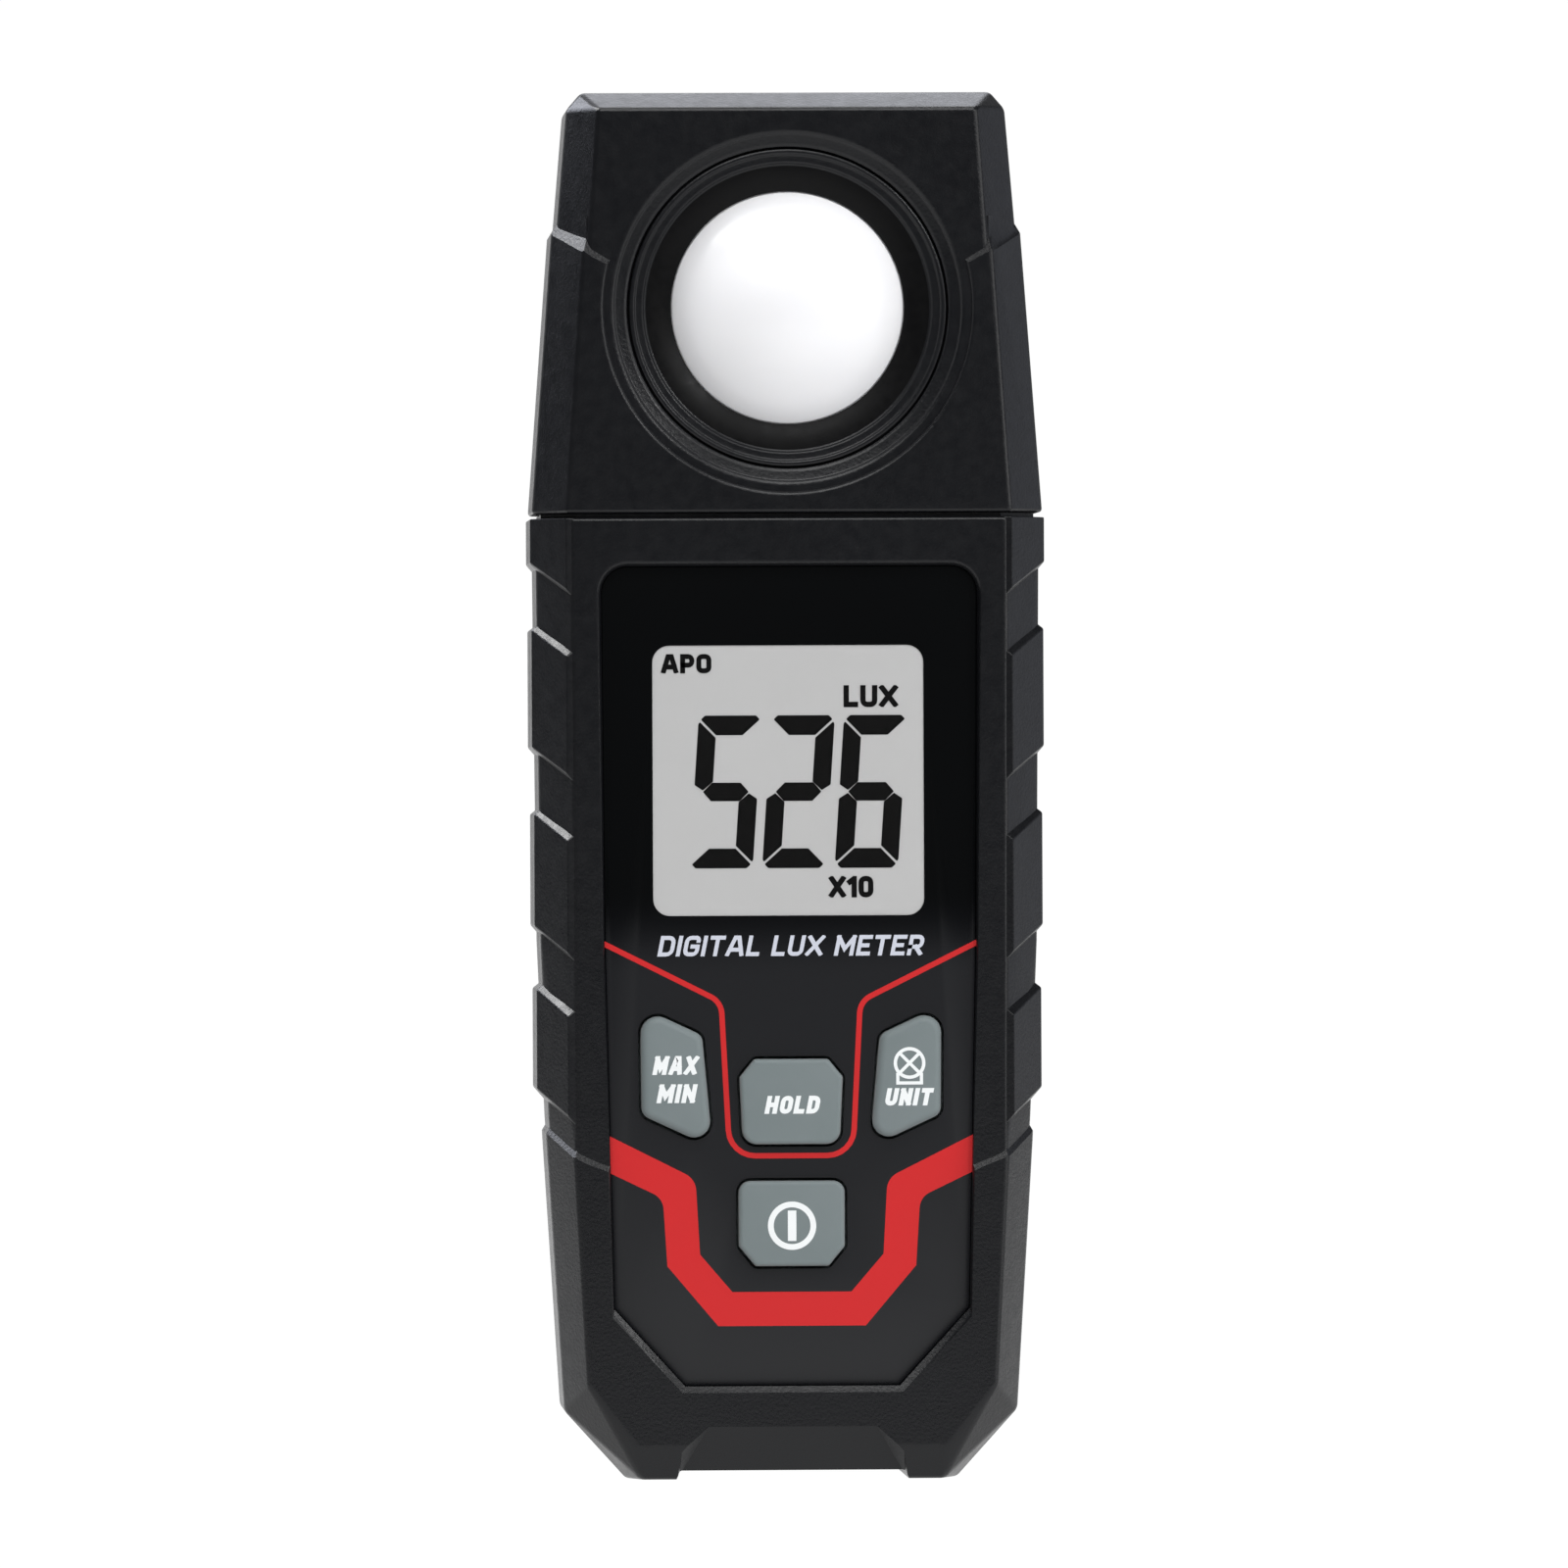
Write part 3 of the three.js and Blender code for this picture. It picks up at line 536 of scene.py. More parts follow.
panelLook = {
    "half": [(20.95, 101.9, 2.9), (20.7, 60), (19.8, 19.1), (11.95, 10.5)],
    "lip": [(21.75, 102.7, 3.7), (21.1, 60), (20.05, 18.05), (12.33, 9.65)],
    "fit": 0.05,             # gap between film and case
    # how far out the slope has gone at each depth behind the face: round the case, round the boot
    "slope": [(0, 0.95, 0, 1.35), (0.06, 0.75, 0.02, 0.4), (0.25, 0.36, 0.06, 0.31),
              (0.42, 0.17, 0.5, 0.16), (0.66, 0.04, 0.94, 0.015), (1, 0, 1, 0)],
    "bootTop": 30,
}
filmLow, filmHigh = boxMm("panel_overlay")


def panelCutter():
    # straight through the wall, then sloping out to the front with a soft lip
    c, p = caseLook, panelLook
    inner = roundCorners(offsetCorners(mirrored(p["half"]), p["fit"]), 10)
    outer = roundCorners(mirrored(p["lip"]), 10)
    bm = bmesh.new()

    def ring(place):
        verts = [bm.verts.new(place(*pair)) for pair in zip(inner, outer)]
        return [bm.edges.new((verts[i - 1], verts[i])) for i in range(len(verts))]

    def onSlope(step):
        def place(start, end):
            onBoot = 2 if start.y < p["bootTop"] else 0
            share, depth = step[onBoot:onBoot + 2]
            spot = start.lerp(end, share)
            face = c["front"] - (c["bootRise"] if onBoot else 0)
            return (spot.x, face + depth, spot.y)
        return place

    loops = [ring(lambda start, end: (start.x, c["front"] + c["wall"] + 2, start.y))]
    loops += [ring(onSlope(step)) for step in p["slope"]]
    loops.append(ring(lambda start, end: (end.x, c["front"] - 1.5, end.y)))
    for first, second in zip(loops, loops[1:]):
        bmesh.ops.bridge_loops(bm, edges=first + second)
    bmesh.ops.holes_fill(bm, edges=loops[0] + loops[-1])
    return tidy(bm)


def upright(radius, low, high, steps=64):
    return turned([(0, low), (radius, low), (radius, high), (0, high)],
                  (0, 0, 1), (0, swivelY, 0), steps)


def alongY(radius, y0, y1, x, z, steps=48):
    return turned([(0, y0), (radius, y0), (radius, y1), (0, y1)], (0, 1, 0), (x, 0, z), steps)


seamFront = swivelY + 0.01      # the halves meet behind the groove
seamBack = swivelY - 0.01


def splitOff(front, groove, hollow):
    # the steps that leave one half of a hollow shell
    near, away = (seamFront, far) if front else (-far, seamBack)
    return [(cut, block((-far, near, -far), (far, away, 3 * far))),
            (cut, groove), (cut, hollow)]


screwLook = {"boss": 3.2, "well": 2.5, "wellFloor": 9, "shank": 1.5, "shankEnd": 10}


def screwBosses(spots):
    return [(add, alongY(screwLook["boss"], seamBack, caseLook["back"] - 1, x, z))
            for x, z in spots]


def screwHoles(spots):
    # a well for the head of each screw, then the hole for its shank
    s = screwLook
    wells = [(cut, alongY(s["well"], s["wellFloor"], caseLook["back"] + 1, x, z))
             for x, z in spots]
    return wells + [(cut, alongY(s["shank"], 0, s["shankEnd"], x, z, 24)) for x, z in spots]


def finishShell(bm, name, body, node):
    finishPiece(bm, name, body, "abs", [node], smooth=26, weighted=True)


blank = bodyBlank()
grooveDepth = 0.6
bodyGroove = seamGroove(*[inwards(caseLook[half], grooveDepth, 1.6, caseTop - grooveDepth)
                          for half in ("side", "flat")])
cavity = shellCavity()
bushRadius = 8.3
bushHole = (cut, upright(bushRadius, caseTop - 5, caseTop + 5))
finishShell(carve(blank, *splitOff(True, bodyGroove, cavity), (cut, panelCutter()), bushHole),
            "frontCase", "meter_body", "front_case")
print("front case done")

doorLook = {"x": 18.6, "low": 6.4, "high": 67.4, "corner": 2.0, "thickness": 1.6, "gap": 0.2,
            "screwZ": 64}
tray = {"x": 16.5, "low": 8, "high": 60.4, "floor": 3.9, "wall": 1.2}
tripodLow, tripodHigh = boxMm("tripod_insert")
tripodCentre = (tripodLow + tripodHigh) / 2
tripodRadius = (tripodHigh.x - tripodLow.x) / 2


def backShell():
    c, d, t = caseLook, doorLook, tray
    back = c["back"]
    seat = [(d["x"] + d["gap"], d["high"] + d["gap"], d["corner"]),
            (d["x"] + d["gap"], d["low"] - d["gap"], d["corner"])]
    rimHalf = [(d["x"] + 1, d["high"] + 1), (d["x"] + 0.2, d["low"] - 0.6)]
    rim = hull(sections((back - 4, rimHalf), (back - 1, rimHalf)))
    return carve(
        blank,
        *splitOff(False, bodyGroove, cavity),
        (add, rim),
        (add, block((-t["x"] - t["wall"], t["floor"] - t["wall"], t["low"] - t["wall"]),
                        (t["x"] + t["wall"], back - 1, t["high"] + t["wall"]))),
        (add, block((-2.8, t["floor"], t["high"]), (2.8, back - 1.1, d["high"]))),
        (add, alongY(6.6, 6, back - 1.2, 0, tripodCentre.z)),
        *screwBosses(c["screws"]),
        (cut, block((-t["x"], t["floor"], t["low"]), (t["x"], back + 1, t["high"]))),
        (cut, prism(mirrored(seat), back - d["thickness"] - d["gap"], back + 1, 8)),
        (cut, alongY(1.4, 8, back, 0, d["screwZ"], 24)),
        (cut, alongY(tripodRadius + 0.15, 7.7, back + 1, 0, tripodCentre.z)),
        *screwHoles(c["screws"]),
        bushHole)


finishShell(backShell(), "backCase", "meter_body", "back_case")
print("back case done")


def batteryDoor():
    d = doorLook
    back = caseLook["back"]
    plate = prism(mirrored([(d["x"], d["high"], d["corner"]), (d["x"], d["low"], d["corner"])]),
                  back - d["thickness"], back, 8)
    soften(plate, 0.3, 3, 60)
    ribs = [(cut, ribbon([(-8, z + 2.4), (0, z), (8, z + 2.4)], 0.9, back - 0.3, back + 1))
            for z in (12.5, 15.1, 17.7, 20.3, 22.9)]      # shallow chevrons for the thumb
    screwHole = alongY(1.5, back - 5, back + 5, 0, d["screwZ"], 32)
    counterbore = alongY(2.6, back - 0.9, back + 5, 0, d["screwZ"], 40)
    return carve(plate, *ribs, (cut, screwHole), (cut, counterbore))


finishShell(batteryDoor(), "batteryDoor", "battery_cover", "battery_door")


headLook = {
    "armourRise": 0.4, "wall": 2.0,
    "side": [(22.9, 155), (24.55, 153.1), (25.75, 139), (28.1, 107.9)],
    "flat": [(21.1, 153.1), (22.15, 138), (24.3, 107.9)],
    "armourSide": [(26.15, 141), (28.6, 107.9)],
    "armourFlat": [(22.55, 141), (24.8, 107.9)],
    "armourLine": [(10, 135.5), (19.9, 135.5), (22.75, 137.1), (26.25, 139.2)],
    "screws": [(-20, 113), (20, 113), (-17.5, 149), (17.5, 149)],
    "neckHole": 6.3,
}
domeLow, domeHigh = boxMm("dome_diffuser")
domeZ = (domeLow.z + domeHigh.z) / 2
collarLow, collarHigh = boxMm("dome_collar")
headLow = boxMm("head_front_case")[0].z


def headBlank():
    h, c = headLook, caseLook
    rise = h["armourRise"]
    core = facetedShell(h["side"], h["flat"], c["front"] + rise, c["back"] - rise, c["edge"])
    circle = turned([(0, -far), (21.1, -far), (21.1, c["front"] - 0.001), (20.9, c["front"] + 0.03),
                     (20.76, c["front"] + 0.1), (20.66, c["front"] + 0.2),
                     (20.55, c["front"] + rise), (0, c["front"] + rise)],
                    (0, 1, 0), (0, 0, domeZ), 128)
    armour = carve(
        facetedShell(h["armourSide"], h["armourFlat"], c["front"], c["back"], c["edge"]),
        (cut, aboveLine(faceRun(h["armourLine"], c["front"], c["back"]))),
        (cut, circle))
    return carve(core, (add, armour))


def headCavity():
    h, c = headLook, caseLook
    w = h["wall"] + h["armourRise"]
    flat = [(19.4, 151), (20.2, 138), (22.3, headLow + h["wall"])]
    side = [(21.6, 153), (22.6, 151), (23.75, 139), (26.1, headLow + 2)]
    return hull(sections((c["front"] + w, flat), (c["front"] + c["facet"], side),
                         (c["back"] - c["facet"], side), (c["back"] - w, flat)))


def dishCutter():
    # a rolled edge, a gentle slope, then the drop to the collar's hole
    face = caseLook["front"] + headLook["armourRise"]
    return turned([(0, -far), (20.0, -far), (20.0, face - 0.001), (19.78, face + 0.02),
                   (19.6, face + 0.08), (19.45, face + 0.18), (19.36, face + 0.32),
                   (19.2, face + 0.42), (18.4, face + 0.56), (18.15, face + 0.64),
                   (17.98, face + 0.8), (17.88, face + 1.1), (17.84, face + 4),
                   (0, face + 4)], (0, 1, 0), (0, 0, domeZ), 128)


headBlock = headBlank()
headGroove = seamGroove(inwards(headLook["side"], grooveDepth, headLow + grooveDepth, 154.4),
                        inwards(headLook["flat"], grooveDepth, headLow + grooveDepth, 152.5))
headHollow = headCavity()
neckHole = (cut, upright(headLook["neckHole"], headLow - 5, headLow + 5))
headScrews = headLook["screws"]
finishShell(carve(headBlock, *splitOff(True, headGroove, headHollow), (cut, dishCutter()),
                  neckHole), "headFrontCase", "sensor_head", "head_front_case")
finishShell(carve(headBlock, *splitOff(False, headGroove, headHollow), *screwBosses(headScrews),
                  *screwHoles(headScrews), neckHole), "headBackCase", "sensor_head",
            "head_back_case")
print("head done")


domeLook = {"radius": 12.9, "flange": 14.6, "shell": 1.6, "arcPoints": 28, "steps": 112,
            "rimY": -10.6, "flangeY": -10.1, "bore": 11.2}
# the last value is the radius out to which the collar carries painted shade
collarLook = {"outer": 17.72, "flangeY": -9.8, "bore": 14.9, "paintedShadeTo": 15.9}


def collar():
    front = collarLow.y
    c = collarLook
    inner, outer = domeLook["radius"] + 0.12, c["outer"]
    flange = (collarHigh.x - collarLow.x) / 2
    profile = [
        (inner, front + 0.95), (inner, front + 0.68), (inner + 0.08, front + 0.6),
        (15.85, front + 0.6), (16.02, front + 0.56), (16.12, front + 0.46),
        (16.18, front + 0.36), (16.28, front + 0.3), (16.44, front + 0.28),
        (16.9, front + 0.28), (17.04, front + 0.24), (17.12, front + 0.15),
        (17.18, front + 0.06), (17.32, front),
        (outer - 0.1, front), (outer, front + 0.1), (outer, c["flangeY"]),
        (flange, c["flangeY"]), (flange, collarHigh.y), (c["bore"], collarHigh.y),
        (c["bore"], front + 0.95), (inner, front + 0.95)]
    bm = turned(profile, (0, 1, 0), (0, 0, domeZ), domeLook["steps"])
    # faces near the dome get the darker copy of the case plastic as painted shade; those further out
    # get the case plastic
    for face in bm.faces:
        middle = face.calc_center_median()
        if math.hypot(middle.x, middle.z - domeZ) > c["paintedShadeTo"]:
            face.material_index = 1
    return bm


def dome():
    d = domeLook
    rise = d["rimY"] - domeLow.y
    sphere = (d["radius"] ** 2 + rise ** 2) / (2 * rise)
    widest = math.asin(d["radius"] / sphere)
    inside = math.asin(d["bore"] / (sphere - d["shell"]))

    def cap(radius, angle):
        return [(radius * math.sin(angle * i / d["arcPoints"]),
                 domeLow.y + sphere - radius * math.cos(angle * i / d["arcPoints"]))
                for i in range(d["arcPoints"] + 1)]
    profile = cap(sphere, widest) + [
        (d["radius"], d["flangeY"]), (d["flange"], d["flangeY"]), (d["flange"], domeHigh.y),
        (d["bore"], domeHigh.y)] + cap(sphere - d["shell"], inside)[::-1]
    return turned(profile, (0, 1, 0), (0, 0, domeZ), d["steps"])


# the collar: its ring next to the dome is painted shade, a darker copy of the case plastic
finishPiece(collar(), "domeCollar", "sensor_head", ["paintedShadeAbs", "abs"], ["dome_collar"],
            smooth=60)
finishPiece(dome(), "domeDiffuser", "sensor_head", "opal", ["dome_diffuser"])
print("dome done")


keyLook = {
    "edge": 0.85,            # rounding of the top edge
    "hole": 0.32,            # gap to the film all round
    "foot": 0.8,
    "outlines": {
        "max_min": [(-16.8, 52.8, 1.9), (-9.95, 49.6, 1.3), (-8.8, 37.05, 1.8), (-16.7, 40.7, 1.3)],
        "hold": [(-4.1, 46.9, 0.5), (4.1, 46.9, 0.5), (5.75, 44.9, 0.5), (5.4, 37.4, 1.6),
                 (-5.4, 37.4, 1.6), (-5.75, 44.9, 0.5)],
        "power": [(-5.9, 33.3, 1.3), (5.9, 33.3, 1.3), (5.9, 26, 0.5), (4.1, 23.8, 0.5),
                  (-4.1, 23.8, 0.5), (-5.9, 26, 0.5)],
    },
}
keyLook["outlines"]["unit"] = [(-c[0], *c[1:]) for c in keyLook["outlines"]["max_min"]]


def keyCap(corners, low, high):
    # a soft-edged cap on a wider foot
    front, back = low.y, high.y
    cap = prism(corners, front, back - 0.8, 8)
    soften(cap, keyLook["edge"], 5, 60,
           lambda e: all(abs(v.co.y - front) < 0.01 for v in e.verts))
    foot = prism(offsetCorners(corners, keyLook["foot"]), back - 0.8, back, 8)
    soften(foot, 0.2, 2, 60)
    return carve(cap, (add, foot))


for key, corners in keyLook["outlines"].items():
    low, high = boxMm(f"button_{key}")
    finishPiece(keyCap(corners, low, high), f"key_{key}", f"{key}_key", "silicone",
                [f"button_{key}"], smooth=40)
keyFront = boxMm("button_hold")[0].y
print("keys done")


windowLook = {
    "corners": [(14.98, 93.1, 1.9), (14.98, 62.9, 1.9), (-15.32, 62.9, 1.9), (-15.32, 93.1, 1.9)],
    "gap": 0.01,
}


def film():
    p = panelLook
    sheet = prism(mirrored(p["half"]), filmLow.y, filmHigh.y, 10)
    soften(sheet, 0.07, 2, 60)
    holes = [(cut, prism(offsetCorners(corners, keyLook["hole"]), filmLow.y - 1,
                                  filmHigh.y + 1, 8))
             for corners in keyLook["outlines"].values()]
    window = prism(windowLook["corners"], filmLow.y - 1, filmHigh.y + 1, 8)
    return carve(sheet, *holes, (cut, window))


finishPiece(film(), "panelFilm", "meter_body", "film", ["panel_overlay"])
lcdLow, lcdHigh = boxMm("lcd_glass")
displayFront = filmLow.y + 0.08
windowHole = offsetCorners(windowLook["corners"], -windowLook["gap"])
finishPiece(prism(windowHole, filmLow.y + 0.01, filmLow.y + 0.04, 8), "displayWindow",
            "meter_body", "window")
cellBlock = carve(block(lcdLow, lcdHigh, 0.15),
                  (add, prism(windowHole, displayFront, lcdLow.y + 0.5, 8)))
finishPiece(cellBlock, "displayCell", "meter_body", "lcd", ["lcd_glass"])


redBand = [(-20.85, 38.65), (-10.72, 33.55, 2.2), (-10.25, 25.1), (-6.65, 20.9), (6.65, 20.9),
           (10.25, 25.1), (10.72, 33.55, 2.2), (20.85, 38.65), (20.6, 34.4), (14.38, 31.4, 2.0),
           (13.9, 23.8), (8.25, 17.1), (-8.25, 17.1), (-13.9, 23.8), (-14.38, 31.4, 2.0),
           (-20.6, 34.4)]
redLineWidth = 0.6
inkSpan = (filmLow.y - 0.02, filmLow.y - 0.001)      # back and front of the printed ink
redLine = [(-20.86, 59.85), (-7.77, 53.3, 2.2), (-6.88, 36.1, 3.0), (6.88, 36.1, 3.0),
           (7.77, 53.3, 2.2), (20.86, 59.85)]
finishPiece(prism(redBand, *inkSpan, 10), "printRedBand", "meter_body", "red")
finishPiece(ribbon(redLine, redLineWidth, *inkSpan), "printRedLine", "meter_body", "red")


# each letter: its width over its height, then strokes of (across, up[, corner])
letters = {
    "A": (0.78, [[(0, 0), (0.36, 1), (0.64, 1), (1, 0)], [(0.12, 0.27), (0.88, 0.27)]]),
    "D": (0.66, [[(0, 0), (0, 1), (1, 1, 0.3), (1, 0, 0.3), "closed"]]),
    "E": (0.56, [[(1, 1), (0, 1), (0, 0), (1, 0)], [(0, 0.5), (0.8, 0.5)]]),
    "G": (0.66, [[(1, 0.82), (1, 1, 0.18), (0, 1, 0.25), (0, 0, 0.25), (1, 0, 0.25), (1, 0.47),
                  (0.55, 0.47)]]),
    "H": (0.66, [[(0, 0), (0, 1)], [(1, 0), (1, 1)], [(0, 0.5), (1, 0.5)]]),
    "I": (0.0, [[(0, 0), (0, 1)]]),
    "L": (0.52, [[(0, 1), (0, 0), (1, 0)]]),
    "M": (0.86, [[(0, 0), (0, 1)], [(0, 1), (0.5, 0.3), (1, 1)], [(1, 1), (1, 0)]]),
    "N": (0.66, [[(0, 0), (0, 1)], [(0, 1), (1, 0)], [(1, 1), (1, 0)]]),
    "O": (0.66, [[(0, 0, 0.25), (0, 1, 0.25), (1, 1, 0.25), (1, 0, 0.25), "closed"]]),
    "P": (0.6, [[(0, 0), (0, 1), (1, 1, 0.25), (1, 0.4, 0.25), (0, 0.4)]]),
    "R": (0.62, [[(0, 0), (0, 1), (1, 1, 0.25), (1, 0.4, 0.25), (0, 0.4)], [(0.5, 0.4), (1, 0)]]),
    "T": (0.64, [[(0, 1), (1, 1)], [(0.5, 1), (0.5, 0)]]),
    "U": (0.66, [[(0, 1), (0, 0, 0.25), (1, 0, 0.25), (1, 1)]]),
    "X": (0.72, [[(0, 0), (1, 1)], [(0, 1), (1, 0)]]),
    "1": (0.28, [[(0, 0.8), (1, 1), (1, 0)]]),
    "0": (0.62, [[(0, 0, 0.25), (0, 1, 0.25), (1, 1, 0.25), (1, 0, 0.25), "closed"]]),
    " ": (0.16, []),
}


def lettering(text, left, right, low, high, faceY, slant, weight, tight=1.75, thickness=0.03):
    # square technical capitals, spread evenly between left and right
    half, tall = weight / 2, high - low - weight
    step = weight * tight
    room = right - left - slant * (high - low) - weight - step * (len(text) - 1)
    stretch = room / sum(letters[c][0] for c in text)
    widths = [letters[c][0] * stretch for c in text]
    strokes, across = [], left + half
    for letter, width in zip(text, widths):
        for stroke in letters[letter][1]:
            closed = stroke[-1] == "closed"
            path = [(p[0] * width, p[1] * tall, *[r * tall for r in p[2:]])
                    for p in stroke if p != "closed"]
            if not closed:
                for end, beside in ((0, 1), (-1, -2)):      # square ends
                    out = (Vector(path[end][:2]) - Vector(path[beside][:2])).normalized() * half
                    path[end] = tuple(Vector(path[end][:2]) + out)
            lift = 0.002 * (len(strokes) % 4)
            ink = ribbon(path, weight, faceY - thickness - lift, faceY - 0.001 - lift / 4, closed, 4)
            for edge, way in ((-half, -1), (tall + half, 1)):
                sliced = bmesh.ops.bisect_plane(
                    ink, geom=ink.verts[:] + ink.edges[:] + ink.faces[:], plane_co=(0, 0, edge),
                    plane_no=(0, 0, way), clear_outer=True)["geom_cut"]
                rim = [g for g in sliced if isinstance(g, bmesh.types.BMEdge)]
                if rim:
                    bmesh.ops.holes_fill(ink, edges=rim)
            for v in ink.verts:
                v.co.x += across + (v.co.z + half) * slant
                v.co.z += low + half
            strokes.append(ink)
        across += width + step
    return carve(strokes[0], *[(add, ink) for ink in strokes[1:]])


def merged(*solids):
    whole = bmesh.new()
    for solid in solids:
        mesh = meshFrom(solid, "part")
        whole.from_mesh(mesh)
        bpy.data.meshes.remove(mesh)
    return whole


caption = lettering("DIGITAL LUX METER", -14.9, 15.1, 58.4, 60.7, filmLow.y, 0.2, 0.45, 1.65)
finishPiece(caption, "printCaption", "meter_body", "white")


def ringPrint(x, z, outer, inner, faceY, steps=48):
    return turned([(inner, faceY - 0.03), (outer, faceY - 0.03), (outer, faceY - 0.001),
                   (inner, faceY - 0.001), (inner, faceY - 0.03)], (0, 1, 0), (x, 0, z), steps)


def bar(x, z, length, width, angle, faceY):
    # a flat stroke with its middle at (x, z)
    bm = block((-length / 2, faceY - 0.03, -width / 2), (length / 2, faceY - 0.001, width / 2))
    bmesh.ops.rotate(bm, matrix=Matrix.Rotation(math.radians(angle), 3, "Y"), verts=bm.verts)
    bmesh.ops.translate(bm, vec=(x, 0, z), verts=bm.verts)
    return bm


italic = 0.2


def keyWord(text, left, right, low, high):
    # heavy white italics on a key
    return lettering(text, left, right, low, high, keyFront, italic, 0.52, 1.45)


legends = {
    "max_min": merged(
        keyWord("MAX", -15.55, -10.25, 45.2, 47.3),
        keyWord("MIN", -15.1, -10.45, 42.05, 44.15)),
    "hold": keyWord("HOLD", -3.05, 3.35, 40.8, 42.8),
    "unit": carve(
        ringPrint(13.2, 46.4, 1.78, 1.4, keyFront),
        (add, bar(13.2, 46.4, 3.1, 0.36, 45, keyFront)),
        (add, bar(13.2, 46.4, 3.1, 0.36, -45, keyFront)),
        (add, ribbon([(11.88, 45.3), (11.88, 44.17), (14.52, 44.17), (14.52, 45.3)], 0.36,
                         keyFront - 0.03, keyFront - 0.001)),
        (add, keyWord("UNIT", 10.35, 15.95, 41.65, 43.6))),
    "power": merged(
        ringPrint(0, 28.3, 2.7, 2.05, keyFront, 64),
        bar(0, 28.3, 3.4, 0.95, 90, keyFront)),
}
for key, ink in legends.items():
    finishPiece(ink, f"legend_{key}", f"{key}_key", "legend")


digitLook = {"half": (3.54, 8.47), "middle": 76.74, "inner": 1.5, "slant": 3.8,
             "centres": {"5": -7.15, "2": 0.98, "6": 9.08}}
segmentsOf = {"5": "afgcd", "2": "abged", "6": "afgcde"}


def segmentOutline(kind):
    # one bar of a seven-segment figure, mitred with slightly rounded tips, about the middle
    wide, tall = digitLook["half"]
    inner = digitLook["inner"]
    flatEnd = [(-3.3, tall - 0.38, 0.15), (-2.85, tall + 0.06, 0.3), (2.85, tall + 0.06, 0.3),
               (3.3, tall - 0.38, 0.15), (inner - 0.02, tall - 2.14, 0.06),
               (0.02 - inner, tall - 2.14, 0.06)]
    stroke = [(-3.42, tall - 0.62, 0.12), (-inner, tall - 2.44, 0.06), (-inner, 1.14, 0.06),
               (-2.58, 0.16, 0.12), (-wide, 0.78, 0.2), (-wide, tall - 0.95, 0.3)]
    if kind == "a":
        return flatEnd
    if kind == "d":
        return [(x, -z, r) for x, z, r in flatEnd]
    if kind == "g":
        half = [(2.56, 0, 0.12), (1.6, 1.03, 0.08)]
        return half + [(-x, z, r) for x, z, r in half[::-1]] + [(-1.6, -1.03, 0.08),
                                                                 (1.6, -1.03, 0.08)]
    flipX = -1 if kind in "bc" else 1
    flipZ = -1 if kind in "ce" else 1
    return [(x * flipX, z * flipZ, r) for x, z, r in stroke]


def figure(digit):
    d = digitLook
    lean = math.tan(math.radians(d["slant"]))
    bars = []
    for kind in segmentsOf[digit]:
        ink = prism(segmentOutline(kind), displayFront - 0.03, displayFront - 0.001, 4)
        for v in ink.verts:
            v.co.x += v.co.z * lean + d["centres"][digit]
            v.co.z += d["middle"]
        bars.append(ink)
    return bars


signs = [
    lettering("APO", -14.3, -8.7, 90.0, 92.15, displayFront, 0, 0.56, 1.4),
    lettering("LUX", 6.05, 12.1, 86.15, 88.6, displayFront, 0, 0.6, 1.4),
    lettering("X10", 4.35, 9.3, 64.9, 67.3, displayFront, 0, 0.6, 1.3),
]
reading = merged(*figure("5"), *figure("2"), *figure("6"), *signs)
finishPiece(reading, "lcdReading", "meter_body", "segment")
print("prints done")


def crossScrew(x, z, low, high, headHeight):
    # pan head with a cross recess, its shank with thread ridges
    head = (high.x - low.x) / 2
    top, under = high.y, high.y - headHeight
    pitch = 0.8
    profile = [(0, low.y), (0.5, low.y + 0.2)]
    y = low.y + 0.9
    while y + pitch < under - 0.6:
        profile += [(0.85, y), (1.1, y + pitch / 2)]
        y += pitch
    profile += [(0.9, under - 0.4), (1.1, under), (head, under), (head, top - headHeight * 0.45),
                (head * 0.93, top - headHeight * 0.2), (head * 0.72, top), (0, top)]
    body = turned(profile, (0, 1, 0), (x, 0, z), 32)
    arm = head * 0.55
    slots = [(cut, hull([(x + sx * wide * f, y, z + sz * tall * f)
                                  for sx in (1, -1) for sz in (1, -1)
                                  for y, f in ((top - headHeight * 0.7, 0.6), (top + 0.3, 1.05))]))
             for wide, tall in ((arm, 0.32), (0.32, arm))]
    return carve(body, *slots)


for group, body in (("case_screw", "meter_body"), ("head_screw", "sensor_head")):
    for number in range(1, 5):
        low, high = boxMm(f"{group}_{number}")
        centre = (low + high) / 2
        finishPiece(crossScrew(centre.x, centre.z, low, high, 1.7), f"{group}{number}Piece", body,
                    "screw", [f"{group}_{number}"])
low, high = boxMm("battery_door_screw")
finishPiece(crossScrew(0, (low.z + high.z) / 2, low, high, 0.5), "doorScrewPiece", "battery_cover",
            "screw", ["battery_door_screw"])


def tripodInsert():
    # a knurled brass nut, threaded 20 turns to the inch
    low, high = tripodLow, tripodHigh
    pitch, bore = 1.27, 3.1
    profile = [(0, low.y), (tripodRadius - 0.3, low.y), (tripodRadius, low.y + 0.3),
               (tripodRadius, high.y - 0.25), (tripodRadius - 0.25, high.y),
               (bore + 0.45, high.y), (bore + 0.1, high.y - 0.4)]
    y = high.y - 0.4 - pitch / 2
    while y - pitch > low.y + 1:
        profile += [(bore - 0.35, y), (bore + 0.1, y - pitch / 2)]
        y -= pitch
    profile += [(bore - 0.35, low.y + 1), (0, low.y + 1)]
    return turned(profile, (0, 1, 0), (0, 0, tripodCentre.z), 64)


finishPiece(tripodInsert(), "tripodInsertPiece", "meter_body", "brass", ["tripod_insert"])


